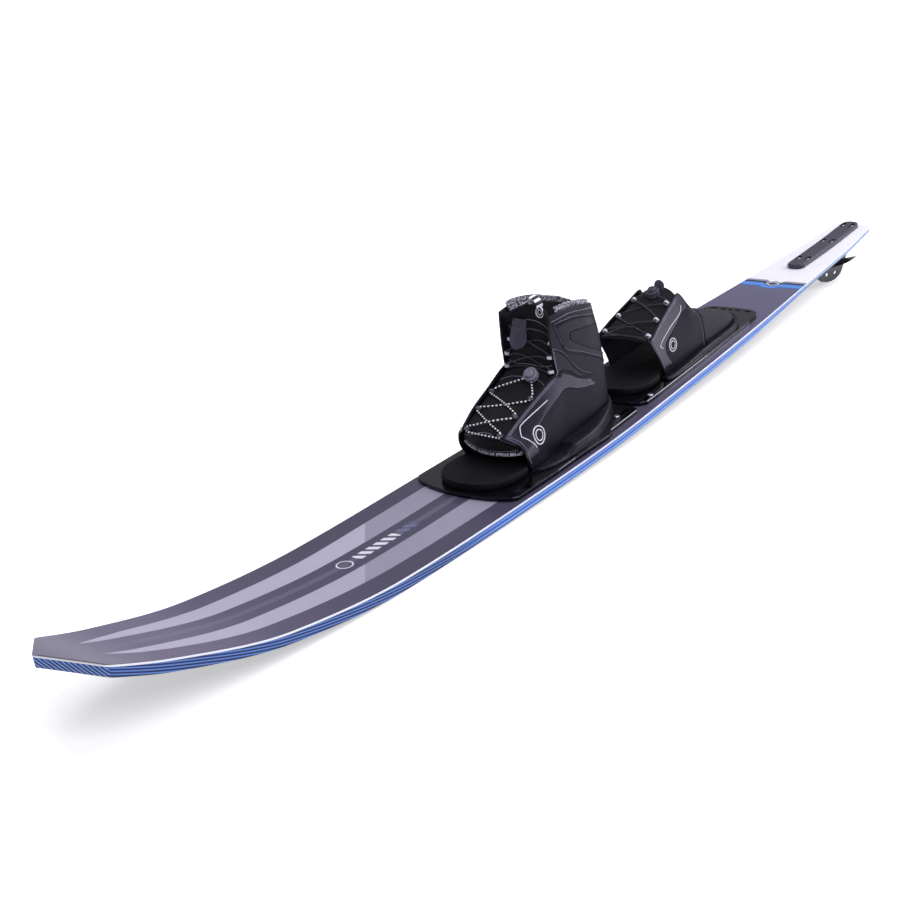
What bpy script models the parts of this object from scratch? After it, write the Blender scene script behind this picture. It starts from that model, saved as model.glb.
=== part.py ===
import math

import bmesh
import bpy
import numpy as np
from mathutils import Matrix, Vector

# A slalom water ski with a high front boot, a low rear binding and a fin with a wing.
# Lengths are in millimetres until solid() turns them into metres.
# The ski's own frame: X from the tail to the nose, Y to the skier's left, Z up from the deck at mid ski.

SKI_LENGTH = 1702.0
SKI_HALF_WIDTH = 87.4
NOSE_SWEEP = 41.5
GAP = 0.3

PLATE_THICK = 5.0
PLATE_TOP = GAP + PLATE_THICK
SEAT = PLATE_TOP + GAP
FOOTBED_TOP = 15.5
WALL = 3.0
LINER = 2.4
TONGUE_THICK = 2.6
LACE_R = 1.0
LOOP_R = 3.0
LOOP_WIRE = 0.8

BLOCK_FRONT = 224.0
BLOCK_REAR = 5.0
BLOCK_HALF = 14.5
BLOCK_TOP = 7.2
FIN_THICK = 2.0
FIN_CLEAR = 0.35
FIN_TRAVEL = 3.0
WING_PIVOT = (86.0, 0.0, -38.0)

LOCK_R = 9.5
LOCK_TALL = 9.0
LOCK_BORE = 6.3
PLUNGER_R = 5.9
PLUNGER_OUT = 4.0

for old in list(bpy.data.objects):
    bpy.data.objects.remove(old, do_unlink=True)

STANCE = bpy.data.objects.new("stance", None)
bpy.context.scene.collection.objects.link(STANCE)


def material(name, color, roughness, metallic=0.0):
    made = bpy.data.materials.new(name)
    made.use_nodes = True
    shader = made.node_tree.nodes["Principled BSDF"]
    shader.inputs["Base Color"].default_value = (*color, 1.0)
    shader.inputs["Roughness"].default_value = roughness
    shader.inputs["Metallic"].default_value = metallic
    return made


TOPSHEET = material("topsheet", (0.10, 0.09, 0.13), 0.35)
PLATE_BLACK = material("plate_black", (0.012, 0.012, 0.016), 0.25)
FRAME_BLACK = material("frame_black", (0.02, 0.02, 0.026), 0.4)
FOOTBED_FOAM = material("footbed_foam", (0.018, 0.017, 0.022), 0.75)
UPPER_SHELL = material("upper_shell", (0.035, 0.033, 0.045), 0.55)
LINING = material("lining", (0.22, 0.20, 0.27), 0.9)
TONGUE_CLOTH = material("tongue_cloth", (0.02, 0.02, 0.027), 0.85)
CORD = material("cord", (0.03, 0.03, 0.035), 0.8)
WEBBING = material("webbing", (0.3, 0.3, 0.33), 0.7)
LOCK_GREY = material("lock_grey", (0.25, 0.24, 0.29), 0.4)
BLOCK_GREY = material("block_grey", (0.06, 0.055, 0.075), 0.35)
FIN_METAL = material("fin_metal", (0.05, 0.05, 0.06), 0.35, 1.0)
WING_BLACK = material("wing_black", (0.02, 0.02, 0.02), 0.4)
SCREW_STEEL = material("screw_steel", (0.45, 0.45, 0.48), 0.3, 1.0)


def solid(name, points, faces, look, origin=(0.0, 0.0, 0.0), smooth=False):
    """A closed mesh from points in millimetres, hung from the stance with its origin where asked."""
    base = Vector(origin)
    mesh = bpy.data.meshes.new(name)
    mesh.from_pydata([(Vector(p) - base) * 0.001 for p in points], [], faces)
    work = bmesh.new()
    work.from_mesh(mesh)
    bmesh.ops.recalc_face_normals(work, faces=work.faces)
    work.to_mesh(mesh)
    work.free()
    made = bpy.data.objects.new(name, mesh)
    mesh.materials.append(look)
    bpy.context.scene.collection.objects.link(made)
    made.parent = STANCE
    made.location = base * 0.001
    if smooth:
        for face in mesh.polygons:
            face.use_smooth = True
        mesh.set_sharp_from_angle(angle=math.radians(40))
    return made


def cut(target, *cutters):
    """Takes the cutters' shapes out of the target."""
    for cutter in cutters:
        cutter.hide_render = True
        cutter.display_type = "WIRE"
        change = target.modifiers.new("cut_" + cutter.name, "BOOLEAN")
        change.operation = "DIFFERENCE"
        change.solver = "EXACT"
        change.object = cutter


def loft(rings, closed=False):
    """Points and faces of a skin over rings of equal length, capped at both ends unless it's closed."""
    count = len(rings[0])
    points = [p for ring in rings for p in ring]
    faces = []
    last = len(rings) if closed else len(rings) - 1
    for i in range(last):
        a = i * count
        b = ((i + 1) % len(rings)) * count
        for j in range(count):
            k = (j + 1) % count
            faces.append((a + j, a + k, b + k, b + j))
    if not closed:
        faces.append(tuple(reversed(range(count))))
        faces.append(tuple(range(len(points) - count, len(points))))
    return points, faces


def blend(knots, values, x):
    """A smooth curve through the knots that doesn't overshoot between them."""
    knots = np.asarray(knots, float)
    values = np.asarray(values, float)
    steps = np.diff(knots)
    slopes = np.diff(values) / steps
    ends = np.zeros(len(knots))
    ends[0] = slopes[0]
    ends[-1] = slopes[-1]
    for i in range(1, len(knots) - 1):
        before, after = slopes[i - 1], slopes[i]
        if before * after > 0:
            ends[i] = 2 * before * after / (before + after)
    i = int(np.clip(np.searchsorted(knots, x) - 1, 0, len(steps) - 1))
    t = (x - knots[i]) / steps[i]
    h = steps[i]
    first = (1 + 2 * t) * (1 - t) ** 2 * values[i] + t * (1 - t) ** 2 * h * ends[i]
    second = t * t * (3 - 2 * t) * values[i + 1] + t * t * (t - 1) * h * ends[i + 1]
    return float(first + second)


# The ski's profile, by distance back from the nose: deck height, half width and wall height.
# The distances were read off a ski 1702 mm long, and they stretch with it.
STRETCH = SKI_LENGTH / 1702.0
REACH = [STRETCH * r for r in (0, 102, 238, 408, 613, 817, 1021, 1225, 1430, 1583, 1702)]
DECK_Z = [129.5, 83.8, 39.9, 15.5, 6.2, 0.6, -0.5, -0.8, -0.4, 0.8, 5.5]
WIDTH = [0.647, 0.771, 0.903, 0.982, 1.0, 0.981, 0.883, 0.761, 0.594, 0.487, 0.379]
WALL_REACH = [STRETCH * r for r in (0, 250, 560, 780, 1210, 1320, 1410, 1702)]
WALL_TALL = [14.5, 15.0, 15.0, 13.7, 13.7, 11.0, 9.0, 8.0]
STATIONS = [0, 7, 30, 62, 100, 140, 185, 238, 300, 370, 440, 510, 580, 640, 700, 760, 820, 880]
STATIONS += [950, 1021, 1100, 1180, 1260, 1330, 1400, 1470, 1540, 1610, 1665, 1690, 1698, 1702]
STATIONS = [STRETCH * s for s in STATIONS]
NOSE_REACH = REACH[2]


def smooth_deck(x):
    return blend(REACH, DECK_Z, min(max(SKI_LENGTH - x, 0.0), SKI_LENGTH))


FACETS = sorted(SKI_LENGTH - s for s in STATIONS)
FACET_Z = [smooth_deck(x) for x in FACETS]


def deck(x):
    """The deck's height at x, straight between the ski's stations, as its facets are."""
    return float(np.interp(x, FACETS, FACET_Z))


def half_width(x):
    return SKI_HALF_WIDTH * blend(REACH, WIDTH, min(max(SKI_LENGTH - x, 0.0), SKI_LENGTH))


def wall_tall(x):
    return float(np.interp(SKI_LENGTH - x, WALL_REACH, WALL_TALL))


def on_deck(points):
    return [(x, y, z + deck(x)) for x, y, z in points]


def follow_deck(made):
    """Splits a mesh at the ski's stations and lays it along the deck."""
    work = bmesh.new()
    work.from_mesh(made.data)
    for x in FACETS:
        geom = list(work.verts) + list(work.edges) + list(work.faces)
        cut_at = Vector((x * 0.001, 0, 0)) - made.location
        bmesh.ops.bisect_plane(work, geom=geom, plane_co=(cut_at.x, 0, 0), plane_no=(1, 0, 0), dist=1e-6)
    for vert in work.verts:
        vert.co.z += deck((vert.co.x + made.location.x) * 1000) * 0.001
    work.to_mesh(made.data)
    work.free()


def inset(outline, distance):
    """The outline moved inward, for a ring of points that runs one way round."""
    ring = [Vector((p[0], p[1])) for p in outline]
    area = sum(a.cross(b) for a, b in zip(ring, ring[1:] + ring[:1]))
    turn = 1.0 if area > 0 else -1.0
    moved = []
    for i, here in enumerate(ring):
        back = (here - ring[i - 1]).normalized()
        on = (ring[(i + 1) % len(ring)] - here).normalized()
        left = Vector((-back.y, back.x)) * turn
        right = Vector((-on.y, on.x)) * turn
        away = (left + right).normalized()
        moved.append(here + away * distance / max(away.dot(left), 0.5))
    return [(p.x, p.y) for p in moved]


def slab(name, outline, bottom, top, look, edge=0.8, smooth=False):
    """A flat piece of the outline's shape with a small bevel round its top."""
    low = [(x, y, bottom) for x, y in outline]
    high = [(x, y, top - edge) for x, y in outline]
    lid = [(x, y, top) for x, y in inset(outline, edge)]
    points, faces = loft([low, high, lid])
    return solid(name, points, faces, look, smooth=smooth)


def mirrored(half):
    """A closed outline from its half on the left side, listed from the front middle to the rear middle."""
    other = [(x, -y) for x, y in reversed(half) if y > 0.01]
    return half + other


def smooth_half(half, count):
    """More points along a half outline, spaced evenly on a curve through the given ones."""
    pts = np.asarray(half, float)
    along = np.concatenate([[0], np.cumsum(np.linalg.norm(np.diff(pts, axis=0), axis=1))])
    where = np.linspace(0, along[-1], count)
    return [tuple(blend(along, pts[:, k], w) for k in range(pts.shape[1])) for w in where]


def box(name, low, high):
    points = [(x, y, z) for x in (low[0], high[0]) for y in (low[1], high[1]) for z in (low[2], high[2])]
    faces = [(0, 1, 3, 2), (4, 6, 7, 5), (0, 4, 5, 1), (2, 3, 7, 6), (0, 2, 6, 4), (1, 5, 7, 3)]
    return solid(name, points, faces, FRAME_BLACK)


def round_slot(name, start, end, radius, bottom, top):
    """An upright cutter with half round ends."""
    a = Vector(start)
    b = Vector(end)
    facing = math.atan2(b.y - a.y, b.x - a.x)
    ring = []
    for i in range(7):
        turn = facing - math.pi / 2 + math.pi * i / 6
        ring.append((b.x + radius * math.cos(turn), b.y + radius * math.sin(turn)))
    for i in range(7):
        turn = facing + math.pi / 2 + math.pi * i / 6
        ring.append((a.x + radius * math.cos(turn), a.y + radius * math.sin(turn)))
    points, faces = loft([[(x, y, bottom) for x, y in ring], [(x, y, top) for x, y in ring]])
    return solid(name, points, faces, FRAME_BLACK)


def turned(name, profile, centre, axis, look, sides=16, origin=None):
    """A round piece about an axis: the profile lists (radius, height) from bottom middle to top middle."""
    along = Vector(axis).normalized()
    across = along.orthogonal().normalized()
    third = along.cross(across)
    base = Vector(centre)
    points = [tuple(base + along * profile[0][1])]
    for radius, height in profile[1:-1]:
        for i in range(sides):
            turn = 2 * math.pi * i / sides
            away = across * math.cos(turn) + third * math.sin(turn)
            points.append(tuple(base + along * height + away * radius))
    points.append(tuple(base + along * profile[-1][1]))
    faces = []
    rows = len(profile) - 2
    for i in range(sides):
        k = (i + 1) % sides
        faces.append((0, 1 + k, 1 + i))
        for r in range(rows - 1):
            a = 1 + r * sides
            faces.append((a + i, a + k, a + sides + k, a + sides + i))
        a = 1 + (rows - 1) * sides
        faces.append((a + i, a + k, len(points) - 1))
    return solid(name, points, faces, look, origin=origin or tuple(centre), smooth=True)


def tube(name, path, radius, look, sides=6):
    """A cord of one thickness along a path of points."""
    pts = [Vector(p) for p in path]
    rings = []
    side = None
    for i, here in enumerate(pts):
        ahead = pts[min(i + 1, len(pts) - 1)] - pts[max(i - 1, 0)]
        ahead.normalize()
        if side is None:
            side = ahead.orthogonal().normalized()
        side = (side - ahead * side.dot(ahead)).normalized()
        up = ahead.cross(side)
        ring = []
        for j in range(sides):
            turn = 2 * math.pi * j / sides
            ring.append(tuple(here + (side * math.cos(turn) + up * math.sin(turn)) * radius))
        rings.append(ring)
    points, faces = loft(rings)
    return solid(name, points, faces, look, smooth=True)


def eased(path, step):
    """A smooth path through the given points, with a point about every step."""
    pts = [Vector(p) for p in path]
    line = [pts[0]]
    for i in range(len(pts) - 1):
        before = pts[max(i - 1, 0)]
        after = pts[min(i + 2, len(pts) - 1)]
        gap = (pts[i + 1] - pts[i]).length
        a = (pts[i + 1] - before).normalized() * gap
        b = (after - pts[i]).normalized() * gap
        count = max(1, round(gap / step))
        for n in range(1, count + 1):
            t = n / count
            spot = pts[i] * (2 * t**3 - 3 * t * t + 1) + a * (t**3 - 2 * t * t + t)
            line.append(spot + pts[i + 1] * (3 * t * t - 2 * t**3) + b * (t**3 - t * t))
    return line


# The ski blank: a flat deck with a small chamfer, upright walls, two base rails and a shallow tunnel.
def ski_ring(x_mid, half, tall, sweep):
    bevel = min(5.0, 0.12 * half)
    chamfer = min(1.5, 0.1 * tall)
    section = [(0.0, 0.0), (half - 2.0, 0.0), (half, -chamfer), (half, bevel - tall), (half - bevel, -tall)]
    section += [(0.76 * half, -tall), (0.64 * half, 2.4 - tall), (0.0, 2.4 - tall)]
    full = section + [(-y, z) for y, z in reversed(section[1:-1])]
    ring = []
    for y, z in full:
        x = x_mid - sweep * abs(y)
        ring.append((x, y, z + smooth_deck(x) if sweep > 0 else z + deck(x)))
    return ring


rings = []
for reach in STATIONS:
    x = SKI_LENGTH - reach
    half = half_width(x)
    tall = wall_tall(x)
    sweep = NOSE_SWEEP / 61.0 * max(0.0, 1.0 - reach / NOSE_REACH)
    if reach == 0:
        half = 0.965 * half
        tall = 0.62 * tall
    if x < 6:
        half -= (6 - x) ** 2 * 0.3
    rings.append(ski_ring(x, half, tall, sweep))
points, faces = loft(rings)
ski = solid("ski_blank", points, faces, TOPSHEET)
stem_front = 196.0
stem_rear = 40.0
slot_low = (stem_rear - FIN_TRAVEL - 0.6, -FIN_THICK / 2 - FIN_CLEAR, -30.0)
slot_high = (stem_front + FIN_TRAVEL + 0.6, FIN_THICK / 2 + FIN_CLEAR, 30.0)
cut(ski, box("ski_fin_slot", slot_low, slot_high))

# The fin block stands over the slot, with pockets for six screws and an end view like a low loaf.
half_loaf = [(BLOCK_FRONT, 0), (BLOCK_FRONT - 1, 8), (BLOCK_FRONT - 5, 12.5),
    (BLOCK_FRONT - 11, BLOCK_HALF)]
half_loaf += [(BLOCK_REAR + 11, BLOCK_HALF), (BLOCK_REAR + 5, 12.5), (BLOCK_REAR + 1, 8), (BLOCK_REAR, 0)]
block = slab("fin_block", mirrored(half_loaf), GAP, BLOCK_TOP, BLOCK_GREY, edge=1.6)
follow_deck(block)
roof = (slot_high[0] - 0.1, slot_high[1] - 0.05, 4.2)
cut(block, box("block_fin_slot", (slot_low[0] + 0.1, slot_low[1] + 0.05, -20.0), roof))
PAIRS = (188.0, 100.0, 24.0)
SCREW_Y = 7.9
number = 0
for x in PAIRS:
    top = deck(x) + BLOCK_TOP
    for side in (1, -1):
        number += 1
        y = side * SCREW_Y
        cut(block, round_slot(f"block_pocket_{number}", (x - 5, y), (x + 5, y), 3.6, top - 2.6, 30.0))
        profile = [(0, 0.3), (2.9, 0.3), (2.9, 1.5), (2.2, 2.0), (1.5, 2.0), (1.2, 1.2), (0, 1.2)]
        turned(f"fin_screw_{number}", profile, (x, y, top - 2.6), (0, 0, 1), SCREW_STEEL, sides=12)

# The fin is a thin blade: its stem stands in the ski, its outline sweeps back to a lobe with oval holes.
blade = [(stem_front, 3.6), (stem_front, -9.0), (178.0, -16.0), (160.0, -30.0), (146.0, -42.0),
    (131.0, -54.0)]
blade += [(112.0, -61.0), (94.0, -65.0), (79.0, -66.0), (64.0, -63.5), (54.0, -58.0), (47.0, -51.0),
    (40.0, -43.0)]
blade += [(34.0, -34.0), (31.0, -24.0), (32.0, -14.0), (stem_rear, -9.5), (stem_rear, 3.6)]
ring_near = [(x, FIN_THICK / 2, z) for x, z in blade]
ring_far = [(x, -FIN_THICK / 2, z) for x, z in blade]
points, faces = loft([ring_near, ring_far])
fin = solid("fin_blade", points, faces, FIN_METAL)


def oval_hole(name, centre, long, short, lean):
    ring = []
    for i in range(12):
        turn = 2 * math.pi * i / 12
        a, b = long * math.cos(turn), short * math.sin(turn)
        ring.append((centre[0] + a * math.cos(lean) - b * math.sin(lean),
            centre[1] + a * math.sin(lean) + b * math.cos(lean)))
    points, faces = loft([[(x, -9, z) for x, z in ring], [(x, 9, z) for x, z in ring]])
    return solid(name, points, faces, FRAME_BLACK)


cut(fin, oval_hole("fin_hole_1", (138.0, -41.0), 6.0, 3.2, 0.5),
    oval_hole("fin_hole_2", (109.0, -49.0), 6.5, 3.2, 0.3))
cut(fin, oval_hole("fin_hole_3", (79.0, -55.0), 6.5, 3.0, 0.0),
    oval_hole("fin_hole_4", (52.0, -42.0), 5.0, 3.0, 1.1))

# The wing is one swept foil on each side of the fin, joined by a short spar through a round hole in it.
px, py, pz = WING_PIVOT
foil = []
for y in (-33.0, -31.0, -19.0, -8.0, -4.0, -1.45, -1.45, 1.45, 1.45, 4.0, 8.0, 19.0, 31.0, 33.0):
    spread = abs(y)
    front = px + 29.0 - 0.45 * spread - (5.0 if spread > 32 else 0.0)
    back = px - 30.0 + 0.15 * spread + (4.0 if spread > 32 else 0.0)
    thick = 3.1 if spread < 5 else 1.1
    rise = pz + 0.3 * (spread - 1.45)
    chord = front - back
    ring = [(front, y, rise), (front - 0.3 * chord, y, rise + thick),
        (front - 0.68 * chord, y, rise + thick)]
    ring += [(back, y, rise), (front - 0.68 * chord, y, rise - thick),
        (front - 0.3 * chord, y, rise - thick)]
    foil.append(ring)
for i, y in ((6, -1.45), (7, 1.45)):
    foil[i] = [(px + 2.3 * math.cos(n * math.pi / 3), y,
        pz + 2.3 * math.sin(n * math.pi / 3)) for n in range(6)]
points, faces = loft(foil)
wing = solid("fin_wing", points, faces, WING_BLACK, origin=WING_PIVOT)
spar_hole = [(0, -8), (2.9, -8), (2.9, 8), (0, 8)]
cut(fin, turned("fin_spar_hole", spar_hole, WING_PIVOT, (0, 1, 0), FRAME_BLACK, sides=16))


# Front binding: the plate, with two lengthwise slots near each rear edge.
half = [(1105, 0), (1103.5, 25), (1100, 46), (1095, 62), (1088, 75), (1082, 79.5), (1000, 79.5),
    (961, 78), (886, 79)]
half += [(876, 77), (870, 72), (804, 69), (797, 65), (795.5, 58), (795.5, 0)]
front_plate = slab("front_plate", mirrored(half), GAP, PLATE_TOP, PLATE_BLACK)
follow_deck(front_plate)
FRONT_SCREWS = []
for side in (1, -1):
    tag = "near" if side > 0 else "far"
    start, end = (806.5, side * 56.7), (837.0, side * 56.0)
    cut(front_plate, round_slot(f"front_slot_{tag}", start, end, 2.6, -20, 30))
    cut(front_plate,
        round_slot(f"front_slot_outer_{tag}", (807.0, side * 65.0), (836.0, side * 65.8), 1.6, -20, 30))
    FRONT_SCREWS.append((f"front_screw_{tag}", 833.5, side * 56.1))

SCREW = [(0, GAP), (1.9, GAP), (1.9, SEAT), (4.3, SEAT), (4.3, SEAT + 1.2), (3.2, SEAT + 2.2),
    (1.6, SEAT + 2.2)]
SCREW += [(1.3, SEAT + 1.2), (0, SEAT + 1.2)]
for name, x, y in FRONT_SCREWS:
    turned(name, SCREW, (x, y, deck(x)), (0, 0, 1), SCREW_STEEL, sides=12)


class Wall:
    """A U shaped wall's surface: u counts the guides from the heel, negative on the far side, v rises to 1.

    The far side mirrors the near one; flare lists how far each of its guides stands out and up from that.
    """

    def __init__(self, rows, heights, flare):
        count = len(rows[0])
        self.us = list(range(1 - count, count))
        self.vs = heights
        self.heel = rows[0][4][0]
        self.grid = []
        for row, share in zip(rows, (0.0, 0.15, 0.65, 1.0)):
            far = [(x, -y - out * share, z + up * share) for (x, y, z), (out, up) in zip(row, flare)]
            self.grid.append(far[:0:-1] + list(row))

    def spot(self, u, v):
        column = [[blend(self.us, [p[k] for p in row], u) for k in range(3)] for row in self.grid]
        return Vector([blend(self.vs, [c[k] for c in column], v) for k in range(3)])

    def out(self, u, v):
        du = self.spot(u + 0.02, v) - self.spot(u - 0.02, v)
        dv = self.spot(u, v + 0.01) - self.spot(u, v - 0.01)
        return dv.cross(du).normalized()

    def lifted(self, u, v, by):
        return self.spot(u, v) + self.out(u, v) * by


def wall_piece(name, wall, us, vs, outer, inner, look):
    """A closed piece between two offsets of a wall's surface, kept above the plate, laid along the deck."""
    points = []
    for by in (outer, inner):
        for u in us:
            for v in vs:
                spot = wall.lifted(u, v, by)
                points.append((spot.x, spot.y, SEAT if v < 0.001 else max(spot.z, SEAT)))
    return sheet_piece(name, points, len(us), len(vs), look)


def sheet_piece(name, points, rows, cols, look):
    """Joins two grids of points, the outer one first, into a closed sheet."""
    side = rows * cols
    faces = []
    for i in range(rows - 1):
        for j in range(cols - 1):
            a = i * cols + j
            faces.append((a, a + 1, a + cols + 1, a + cols))
            faces.append((side + a, side + a + cols, side + a + cols + 1, side + a + 1))
    edge = [i * cols for i in range(rows)]
    edge += [(rows - 1) * cols + j for j in range(1, cols)]
    edge += [i * cols + cols - 1 for i in range(rows - 2, -1, -1)]
    edge += [j for j in range(cols - 2, 0, -1)]
    for a, b in zip(edge, edge[1:] + edge[:1]):
        faces.append((a, b, side + b, side + a))
    return solid(name, on_deck(points), faces, look, smooth=True)


def wall_foot(wall, us, by, vs):
    """The wall's outline near the plate, moved by an offset: its widest line outside, narrowest inside."""
    found = []
    for u in us:
        spots = [wall.lifted(u, v, by) for v in vs]
        reach = [math.hypot(min(p.x - wall.heel, 0.0), p.y) for p in spots]
        pick = int(np.argmax(reach) if by > 0 else np.argmin(reach))
        found.append(tuple(spots[pick].xy) if abs(u) > 0 else (spots[pick].x, 0.0))
    return found


def both_sides(values):
    return [-v for v in reversed(values) if v > 0] + list(values)


# The front boot's wall: each row runs from the heel's middle forward along the skier's left side.
base = [(801, 0), (806.5, 22), (825, 37.5), (860, 44), (885, 45.2), (905, 45.6), (920, 46), (930, 46.8),
    (945, 48)]
base += [(970, 50), (995, 50.8), (1016, 51)]
base = [(x, y, SEAT) for x, y in base]
low = [(798, 0, 45), (803.5, 22, 45), (822, 36, 45), (860, 40.5, 45), (883, 41, 45), (900, 41.3, 45),
    (915, 41.5, 44)]
low += [(926, 41.8, 42), (942, 43.3, 41), (968, 46, 38), (996, 49.5, 34), (1025, 53, 30)]
high = [(797, 0, 95), (803, 21, 95), (820, 33, 95), (850, 38, 95), (876, 39, 95), (893, 39.5, 93),
    (908, 39.5, 84)]
high += [(919, 40, 74), (937, 41.7, 68), (966, 43, 60), (996, 44.5, 52), (1027, 47.5, 43)]
top = [(806, 0, 150), (815, 22, 157), (829, 32, 162), (860, 42, 171), (900, 43, 178), (929, 40, 178),
    (930, 39, 140)]
top += [(925, 38.5, 104), (940, 37, 97), (970, 35, 85), (1003, 33, 72), (1038, 29, 54)]
FLARE = [(0, 0)] * 5 + [(-1, 0), (2, 0), (6, 2), (6, 4), (5.5, 4), (5.5, 4), (5.5, 3)]
BOOT = Wall([base, low, high, top], [0.0, 0.3, 0.62, 1.0], FLARE)
us = [0, 0.5, 1, 1.5, 2, 2.5, 3, 3.5, 4, 4.5, 5, 5.5, 6, 6.5, 7, 7.5, 8, 8.5, 9, 9.5, 10, 10.5, 11]
wall_piece("front_upper", BOOT, both_sides(us), [0, 0.1, 0.2, 0.35, 0.5, 0.65, 0.8, 0.9, 1.0], 0, -WALL,
    UPPER_SHELL)
inside = wall_foot(BOOT, [10.8, 10, 9, 8, 7, 5, 4, 3, 2, 1.5, 1, 0.5, 0], -WALL - 0.7, (0.0, 0.05, 0.1))
half = smooth_half([(1096, 0), (1093, 20), (1086, 36), (1074, 47), (1057, 53), (1037, 54), (1024, 52)], 14)
slab("front_footbed", mirrored(half + [(1019.5, 47.0)] + inside), SEAT, FOOTBED_TOP, FOOTBED_FOAM, edge=2.2)
follow_deck(bpy.data.objects["front_footbed"])
us = [0, 0.5, 1, 1.5, 2, 2.5, 3, 3.5, 4, 4.3]
liner_in = WALL + 0.7
wall_piece("front_liner", BOOT, both_sides(us), [0.6, 0.7, 0.8, 0.9, 1.0, 1.03], -liner_in,
    -liner_in - LINER, LINING)


def rim(name, inner, outer, heights, look):
    """A low wall along a U shaped path, its top chamfered on the outside."""
    rings = []
    path = list(zip(inner, outer, heights))
    far = [((a[0], -a[1]), (b[0], -b[1]), h) for a, b, h in path if b[1] > 0.01]
    for (ix, iy), (ox, oy), h in path + far[::-1]:
        ring = [(ix, iy, SEAT), (ox, oy, SEAT), (ox, oy, h - 2.0),
            (ox + (ix - ox) * 0.25, oy + (iy - oy) * 0.25, h)]
        rings.append(on_deck(ring + [(ix, iy, h)]))
    points, faces = loft(rings)
    return solid(name, points, faces, look)


us = [11, 10.6, 10, 9, 8.4, 8.0, 7, 5, 4, 3.4, 2.8, 2, 1.4, 1, 0.5, 0]
outer = [(1012, 62), (1005, 66), (990, 69.5), (962, 71.5), (952, 72), (944, 72), (922, 71.7), (896, 69),
    (872, 63)]
outer += [(853, 57), (838, 51), (819, 41), (808, 32), (802, 25), (797.6, 12), (796, 0)]
tall = [9, 9.2, 9.4, 9.8, 14, 18, 18, 18.5, 19, 20, 21, 22, 22, 22, 22, 22]
rim("front_frame", wall_foot(BOOT, us, 1.0, (0.0, 0.08, 0.16)), outer, tall, FRAME_BLACK)


class Tongue:
    """The padded sheet between the two lace edges: a runs along it from the front, t across."""

    def __init__(self, wall, edges, middles, depth):
        self.knots = list(range(len(edges)))
        self.middle = [Vector(p) for p in middles]
        self.edge = {}
        self.tuck = {}
        for side in (1, -1):
            self.edge[side] = []
            self.tuck[side] = []
            for u, v in edges:
                by = -depth - (1.3 if u < 6.5 else 0.0)
                slip = 0.45 if v < 0.8 or u < 7 else 0.0
                self.edge[side].append(wall.lifted(side * u, v, by))
                self.tuck[side].append(wall.lifted(side * (u - slip), v - 0.1, by))

    def along(self, row, a):
        return Vector([blend(self.knots, [p[k] for p in row], a) for k in range(3)])

    def spot(self, a, t):
        middle = self.along(self.middle, a)
        edge = self.along(self.edge[1 if t >= 0 else -1], a)
        bend = abs(t) ** 2.2
        x = middle.x + (edge.x - middle.x) * bend
        return Vector((x, edge.y * abs(t), middle.z + (edge.z - middle.z) * bend))

    def out(self, a, t):
        da = self.spot(a + 0.03, t) - self.spot(a - 0.03, t)
        dt = self.spot(a, t + 0.03) - self.spot(a, t - 0.03)
        return dt.cross(da).normalized()

    def lifted(self, a, t, by):
        return self.spot(a, t) + self.out(a, t) * by

    def column(self, a, ts, by):
        near = self.along(self.tuck[1], a) + self.out(a, 0.97) * by
        far = self.along(self.tuck[-1], a) + self.out(a, -0.97) * by
        return [far] + [self.lifted(a, t, by) for t in ts] + [near]


def tongue_piece(name, tongue, rows, ts, thick, look):
    points = []
    for by in (0.0, -thick):
        for a in rows:
            points += [tuple(p) for p in tongue.column(a, ts, by)]
    return sheet_piece(name, points, len(rows), len(ts) + 2, look)


def loop_ring(name, tongue, wall_edge, a, side, look):
    """A small ring on the tongue beside the lace edge, its axis along the edge. Returns both."""
    y = abs(wall_edge.y) - LOOP_R - LOOP_WIRE - 0.75
    t = side * y / abs(tongue.along(tongue.edge[side], a).y)
    lift = LOOP_R + LOOP_WIRE + 0.6
    for _ in range(4):
        centre = tongue.lifted(a, t, lift)
        t *= y / abs(centre.y)
    along = (tongue.spot(a + 0.05, t) - tongue.spot(a - 0.05, t)).normalized()
    up = tongue.out(a, t)
    across = along.cross(up).normalized()
    rings = []
    for i in range(9):
        turn = 2 * math.pi * i / 9
        away = across * math.cos(turn) + up * math.sin(turn)
        spots = []
        for j in range(5):
            roll = 2 * math.pi * j / 5
            out = LOOP_R + LOOP_WIRE * math.cos(roll)
            spots.append(centre + away * out + along * LOOP_WIRE * math.sin(roll))
        rings.append(on_deck([tuple(p) for p in spots]))
    points, faces = loft(rings, closed=True)
    solid(name, points, faces, look, smooth=True)
    return centre, along


def cord(name, path, step=5.0, radius=LACE_R, sides=5, look=CORD):
    return tube(name, on_deck([tuple(p) for p in eased(path, step)]), radius, look, sides)


def through(ring, direction):
    """Points that take a cord straight through a ring."""
    centre, along = ring
    return [centre + along * by * direction for by in (-3.2, -1.6, 0.0, 1.6, 3.2)]


edges = [(10.8, 0.42), (10.8, 0.66), (10.8, 0.9), (10, 0.9), (9, 0.9), (8, 0.9), (7, 0.9), (6, 0.88),
    (5.2, 0.86)]
edges += [(5.0, 0.97)]
middles = [(1030, 0, 29.5), (1035, 0, 43), (1035, 0, 56), (1006, 0, 71.5), (971, 0, 81), (944, 0, 93)]
middles += [(932, 0, 107), (925, 0, 133), (915, 0, 163), (908, 0, 184)]
FRONT_TONGUE = Tongue(BOOT, edges, middles, WALL + 1.2)
rows = [0, 0.6, 1.2, 1.8, 2.1, 2.3, 2.6, 3, 3.5, 4, 4.5, 5, 5.5, 5.8, 6.1, 6.6, 7.2, 8, 8.6, 9]
ts = [-1, -0.8, -0.55, -0.28, 0, 0.28, 0.55, 0.8, 1]
tongue_piece("front_tongue", FRONT_TONGUE, rows, ts, TONGUE_THICK, TONGUE_CLOTH)

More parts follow.
